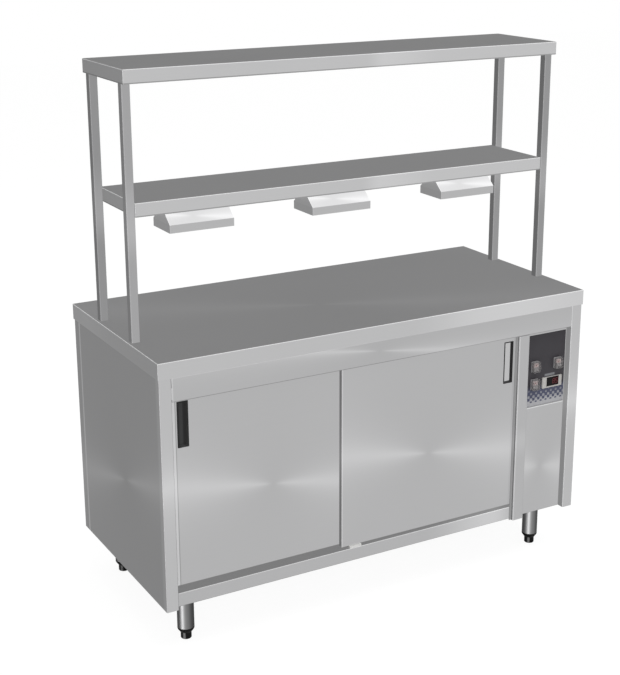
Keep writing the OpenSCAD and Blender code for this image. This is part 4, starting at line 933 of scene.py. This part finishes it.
# %% A small builder of geometry trees
class Recipe:
    """A Geometry Nodes tree with named inputs."""

    def __init__(self, name, **sizes):
        self.tree = bpy.data.node_groups.new(name, "GeometryNodeTree")
        face = self.tree.interface
        face.new_socket("Geometry", in_out="INPUT", socket_type="NodeSocketGeometry")
        face.new_socket("Geometry", in_out="OUTPUT", socket_type="NodeSocketGeometry")
        self.keys = {}
        for label, value in sizes.items():
            kind = "NodeSocketInt" if isinstance(value, int) else "NodeSocketFloat"
            socket = face.new_socket(label, in_out="INPUT", socket_type=kind)
            socket.default_value = value
            self.keys[label] = (socket.identifier, value)
        self.given = self.tree.nodes.new("NodeGroupInput")
        self.result = self.tree.nodes.new("NodeGroupOutput")

    def size(self, label):
        return self.given.outputs[label]

    def make(self, kind, settings=None, values=None, family="GeometryNode"):
        node = self.tree.nodes.new(family + kind)
        for key, value in (settings or {}).items():
            setattr(node, key, value)
        for key, value in (values or {}).items():
            if isinstance(value, bpy.types.NodeSocket):
                self.tree.links.new(value, node.inputs[key])
            else:
                node.inputs[key].default_value = value
        return node.outputs[0]

    def maths(self, operation, first, second):
        return self.make("Math", {"operation": operation}, {0: first, 1: second}, "ShaderNode")

    def vector(self, *parts):
        return self.make("CombineXYZ", None, dict(enumerate(parts)), "ShaderNode")

    def ring(self, steps, radius):
        return self.make("CurvePrimitiveCircle", {"mode": "RADIUS"},
                         {"Resolution": steps, "Radius": radius})

    def on_points(self, points, instance, rotation=(0.0, 0.0, 0.0)):
        return self.make("InstanceOnPoints", None,
                         {"Points": points, "Instance": instance, "Rotation": rotation})

    def bake(self, name, shape, material, body, sharp=40):
        """Ends the tree, runs it on a start shape and returns a plain piece on a body."""
        real = self.make("RealizeInstances", None, {0: shape})
        done = self.make("SetMaterial", None, {"Geometry": real, "Material": material})
        self.tree.links.new(done, self.result.inputs[0])
        holder = add_to_scene(name + "_recipe", self.start)
        modifier = holder.modifiers.new("recipe", "NODES")
        modifier.node_group = self.tree
        for identifier, value in self.keys.values():
            modifier[identifier] = value
        graph = bpy.context.evaluated_depsgraph_get()
        mesh = bpy.data.meshes.new_from_object(holder.evaluated_get(graph))
        holder.modifiers.clear()
        bpy.data.objects.remove(holder)
        mesh.name = name
        return ride_along(name, mesh, body, sharp)


def points_mesh(name, points):
    mesh = bpy.data.meshes.new(name)
    mesh.from_pydata([tuple(p) for p in points], [], [])
    return mesh


print("recipes are ready")

# %% [markdown]
# ## Blind rivets on the back
# The back panel is pulled on with blind rivets along its edges. A rivet seen from outside is a low
# dome with the dimple that the pulled pin leaves. The dome is a squashed sphere, and the dimple a
# ring with a dark middle, so that it reads at a glance.

# %% Set the rivets
back_low, back_high = [Vector(v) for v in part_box("back_panel")]
inset, from_corner = 18 * MM, 40 * MM
IN_A_ROW, IN_A_COLUMN = 11, 5
rivet_points = []
for i in range(IN_A_ROW):
    run = back_high.x - back_low.x - 2 * from_corner
    x = back_low.x + from_corner + run * i / (IN_A_ROW - 1)
    rivet_points += [(x, back_high.y, back_low.z + inset), (x, back_high.y, back_high.z - inset)]
for i in range(1, IN_A_COLUMN + 1):
    z = back_low.z + inset + (back_high.z - back_low.z - 2 * inset) * i / (IN_A_COLUMN + 1)
    rivet_points += [(back_low.x + inset, back_high.y, z), (back_high.x - inset, back_high.y, z)]
rivets = Recipe("rivet_recipe", head_radius=3.2 * MM, head_height=1.1 * MM, steps=20)
rivets.start = points_mesh("rivet_points", rivet_points)
radius, height = rivets.size("head_radius"), rivets.size("head_height")
dome = rivets.make("MeshUVSphere", None,
                   {"Segments": rivets.size("steps"), "Rings": 10, "Radius": radius})
share = rivets.maths("DIVIDE", height, radius)
flat = rivets.vector(1.0, 1.0, share)
low_dome = rivets.make("Transform", None, {"Geometry": dome, "Scale": flat})
ring_line = rivets.ring(16, rivets.maths("MULTIPLY", radius, 0.36))
ring_wire = rivets.ring(6, rivets.maths("MULTIPLY", radius, 0.09))
ring = rivets.make("CurveToMesh", None, {0: ring_line, 1: ring_wire})
lift = rivets.vector(0.0, 0.0, rivets.maths("MULTIPLY", height, 0.95))
ring_up = rivets.make("Transform", None, {"Geometry": ring, "Translation": lift})
head = rivets.make("JoinGeometry")
rivets.tree.links.new(low_dome, head.node.inputs[0])
rivets.tree.links.new(ring_up, head.node.inputs[0])
placed = rivets.on_points(rivets.size("Geometry"), head, (-math.pi / 2, 0.0, 0.0))
rivet_steel = plain_metal("rivet_steel", ((0.50, 0.50, 0.51), (0.62, 0.62, 0.63)), 0.28, 900.0)
rivets.bake("back_rivets", placed, rivet_steel, "cabinet")
print(len(rivet_points), "rivets set")

# %% [markdown]
# ## Heat lamps
# Under each housing lies a quartz tube between two ceramic holders, with a tungsten coil down its
# middle. The solid tube of the CAD model is replaced by a real glass wall. The coil follows a
# helix, which Geometry Nodes draw from a pitch and a radius, so that no coil is modelled by hand.

# %% Wind the filaments
tube_low, tube_high = [Vector(v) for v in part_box("lamp_tubes")]
tube_y, tube_z = (tube_low.y + tube_high.y) / 2, (tube_low.z + tube_high.z) / 2
lamp_places = (-LAMP_PITCH, 0.0, LAMP_PITCH)
filament = Recipe("filament_recipe", coil_radius=1.9 * MM, wire_radius=0.35 * MM, pitch=3.2 * MM,
                  length=148 * MM)
filament.start = points_mesh("lamp_points", [(x, tube_y, tube_z) for x in lamp_places])
turns = filament.maths("DIVIDE", filament.size("length"), filament.size("pitch"))
coil_radius = filament.size("coil_radius")
helix = filament.make("CurveSpiral", None,
                      {"Resolution": 12, "Rotations": turns, "Start Radius": coil_radius,
                       "End Radius": coil_radius, "Height": filament.size("length")})
wire = filament.ring(5, filament.size("wire_radius"))
coil = filament.make("CurveToMesh", None, {0: helix, 1: wire, "Fill Caps": True})
back_half = filament.vector(0.0, 0.0, filament.maths("MULTIPLY", filament.size("length"), -0.5))
centred = filament.make("Transform", None, {"Geometry": coil, "Translation": back_half})
placed = filament.on_points(filament.size("Geometry"), centred, (0.0, math.pi / 2, 0.0))
tungsten = plain_metal("tungsten", ((0.22, 0.20, 0.19), (0.36, 0.32, 0.30)), 0.4, 900.0)
coils = filament.bake("lamp_filaments", placed, tungsten, "cabinet", 60)
print("filaments wound:", len(coils.data.polygons), "faces")

# %% Blow the tubes and press the holders
def lamp_glass_material():
    material, paint = new_material("lamp_glass")
    point = paint.place()[0]
    haze = paint.noise(point, (30.0, 120.0, 120.0), 2.0)
    paint.surface({"Base Color": paint.mix(haze, (0.93, 0.95, 0.96), (1.0, 1.0, 1.0)),
                   "Roughness": 0.03 + haze * 0.05, "Transmission Weight": 0.9, "IOR": 1.46,
                   "Normal": paint.bump(haze, 0.05, 0.0001)})
    return material


glass, holders = bmesh.new(), bmesh.new()
# Radius and place along the lamp, millimetres: the pinched outside of a tube, and its bore
GLASS_OUTSIDE = [(0.4, -89), (3.4, -89), (3.6, -84), (6.0, -80), (6.0, 80), (3.6, 84), (3.4, 89),
                 (0.4, 89)]
GLASS_BORE = [(0.3, -80), (4.9, -78), (4.9, 78), (0.3, 80)]
CORNERS, FLUTE = 16, 0.12    # points round a ceramic block, and how far every other one is set in
outline = [Vector((math.cos(math.tau * n / CORNERS), math.sin(math.tau * n / CORNERS)))
           * (1 - FLUTE * (n % 2)) for n in range(CORNERS)]
for x in lamp_places:
    for profile in (GLASS_OUTSIDE, GLASS_BORE):
        turned(glass, [(r * MM, s * MM) for r, s in profile], (x, tube_y, tube_z), (1, 0, 0), 24)
    for way in (-1, 1):
        for near, far, half in ((87, 91, 7.6), (91, 100.9, 9.0)):
            steps = ((near, 0.9), (near + 0.6, 1.0), (far - 0.6, 1.0), (far, 0.95))
            loft(holders, [[Vector((x + way * s * MM, tube_y + q.x * half * share * MM,
                                    tube_z + q.y * half * share * MM)) for q in outline]
                           for s, share in steps])
tubes = into_piece("quartz_tubes", glass, lamp_glass_material(), "cabinet", 50)
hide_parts("lamp_tubes")
ceramic = moulded("lamp_ceramic", (0.72, 0.69, 0.62), 0.5, grain=900.0)
into_piece("lamp_holders", holders, ceramic, "cabinet")
print("tubes blown:", len(tubes.data.polygons), "faces")

# %% [markdown]
# ## Grip ribs on the cable gland
# The cap of the gland is turned by hand, so it carries ribs. They are one bar, set round a circle
# as often as a named input says.

# %% Rib the gland
gland_low, gland_high = [Vector(v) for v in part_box("cable_gland")]
gland_mid = (gland_low + gland_high) / 2
ribs = Recipe("rib_recipe", cap_radius=12.4 * MM, rib_radius=0.8 * MM, rib_length=11.0 * MM, count=24)
ribs.start = points_mesh("gland_point", [(gland_mid.x, gland_mid.y, gland_low.z + 12.5 * MM)])
circle = ribs.ring(ribs.size("count"), ribs.size("cap_radius"))
round_points = ribs.make("CurveToPoints", {"mode": "EVALUATED"}, {0: circle})
bar = ribs.make("MeshCylinder", None, {"Vertices": 8, "Radius": ribs.size("rib_radius"),
                                                   "Depth": ribs.size("rib_length")})
one_set = ribs.on_points(round_points, bar)
ribs.bake("gland_ribs", ribs.on_points(ribs.size("Geometry"), one_set),
          bpy.data.materials["gland_plastic"], "cabinet", 30)
print("gland ribbed")
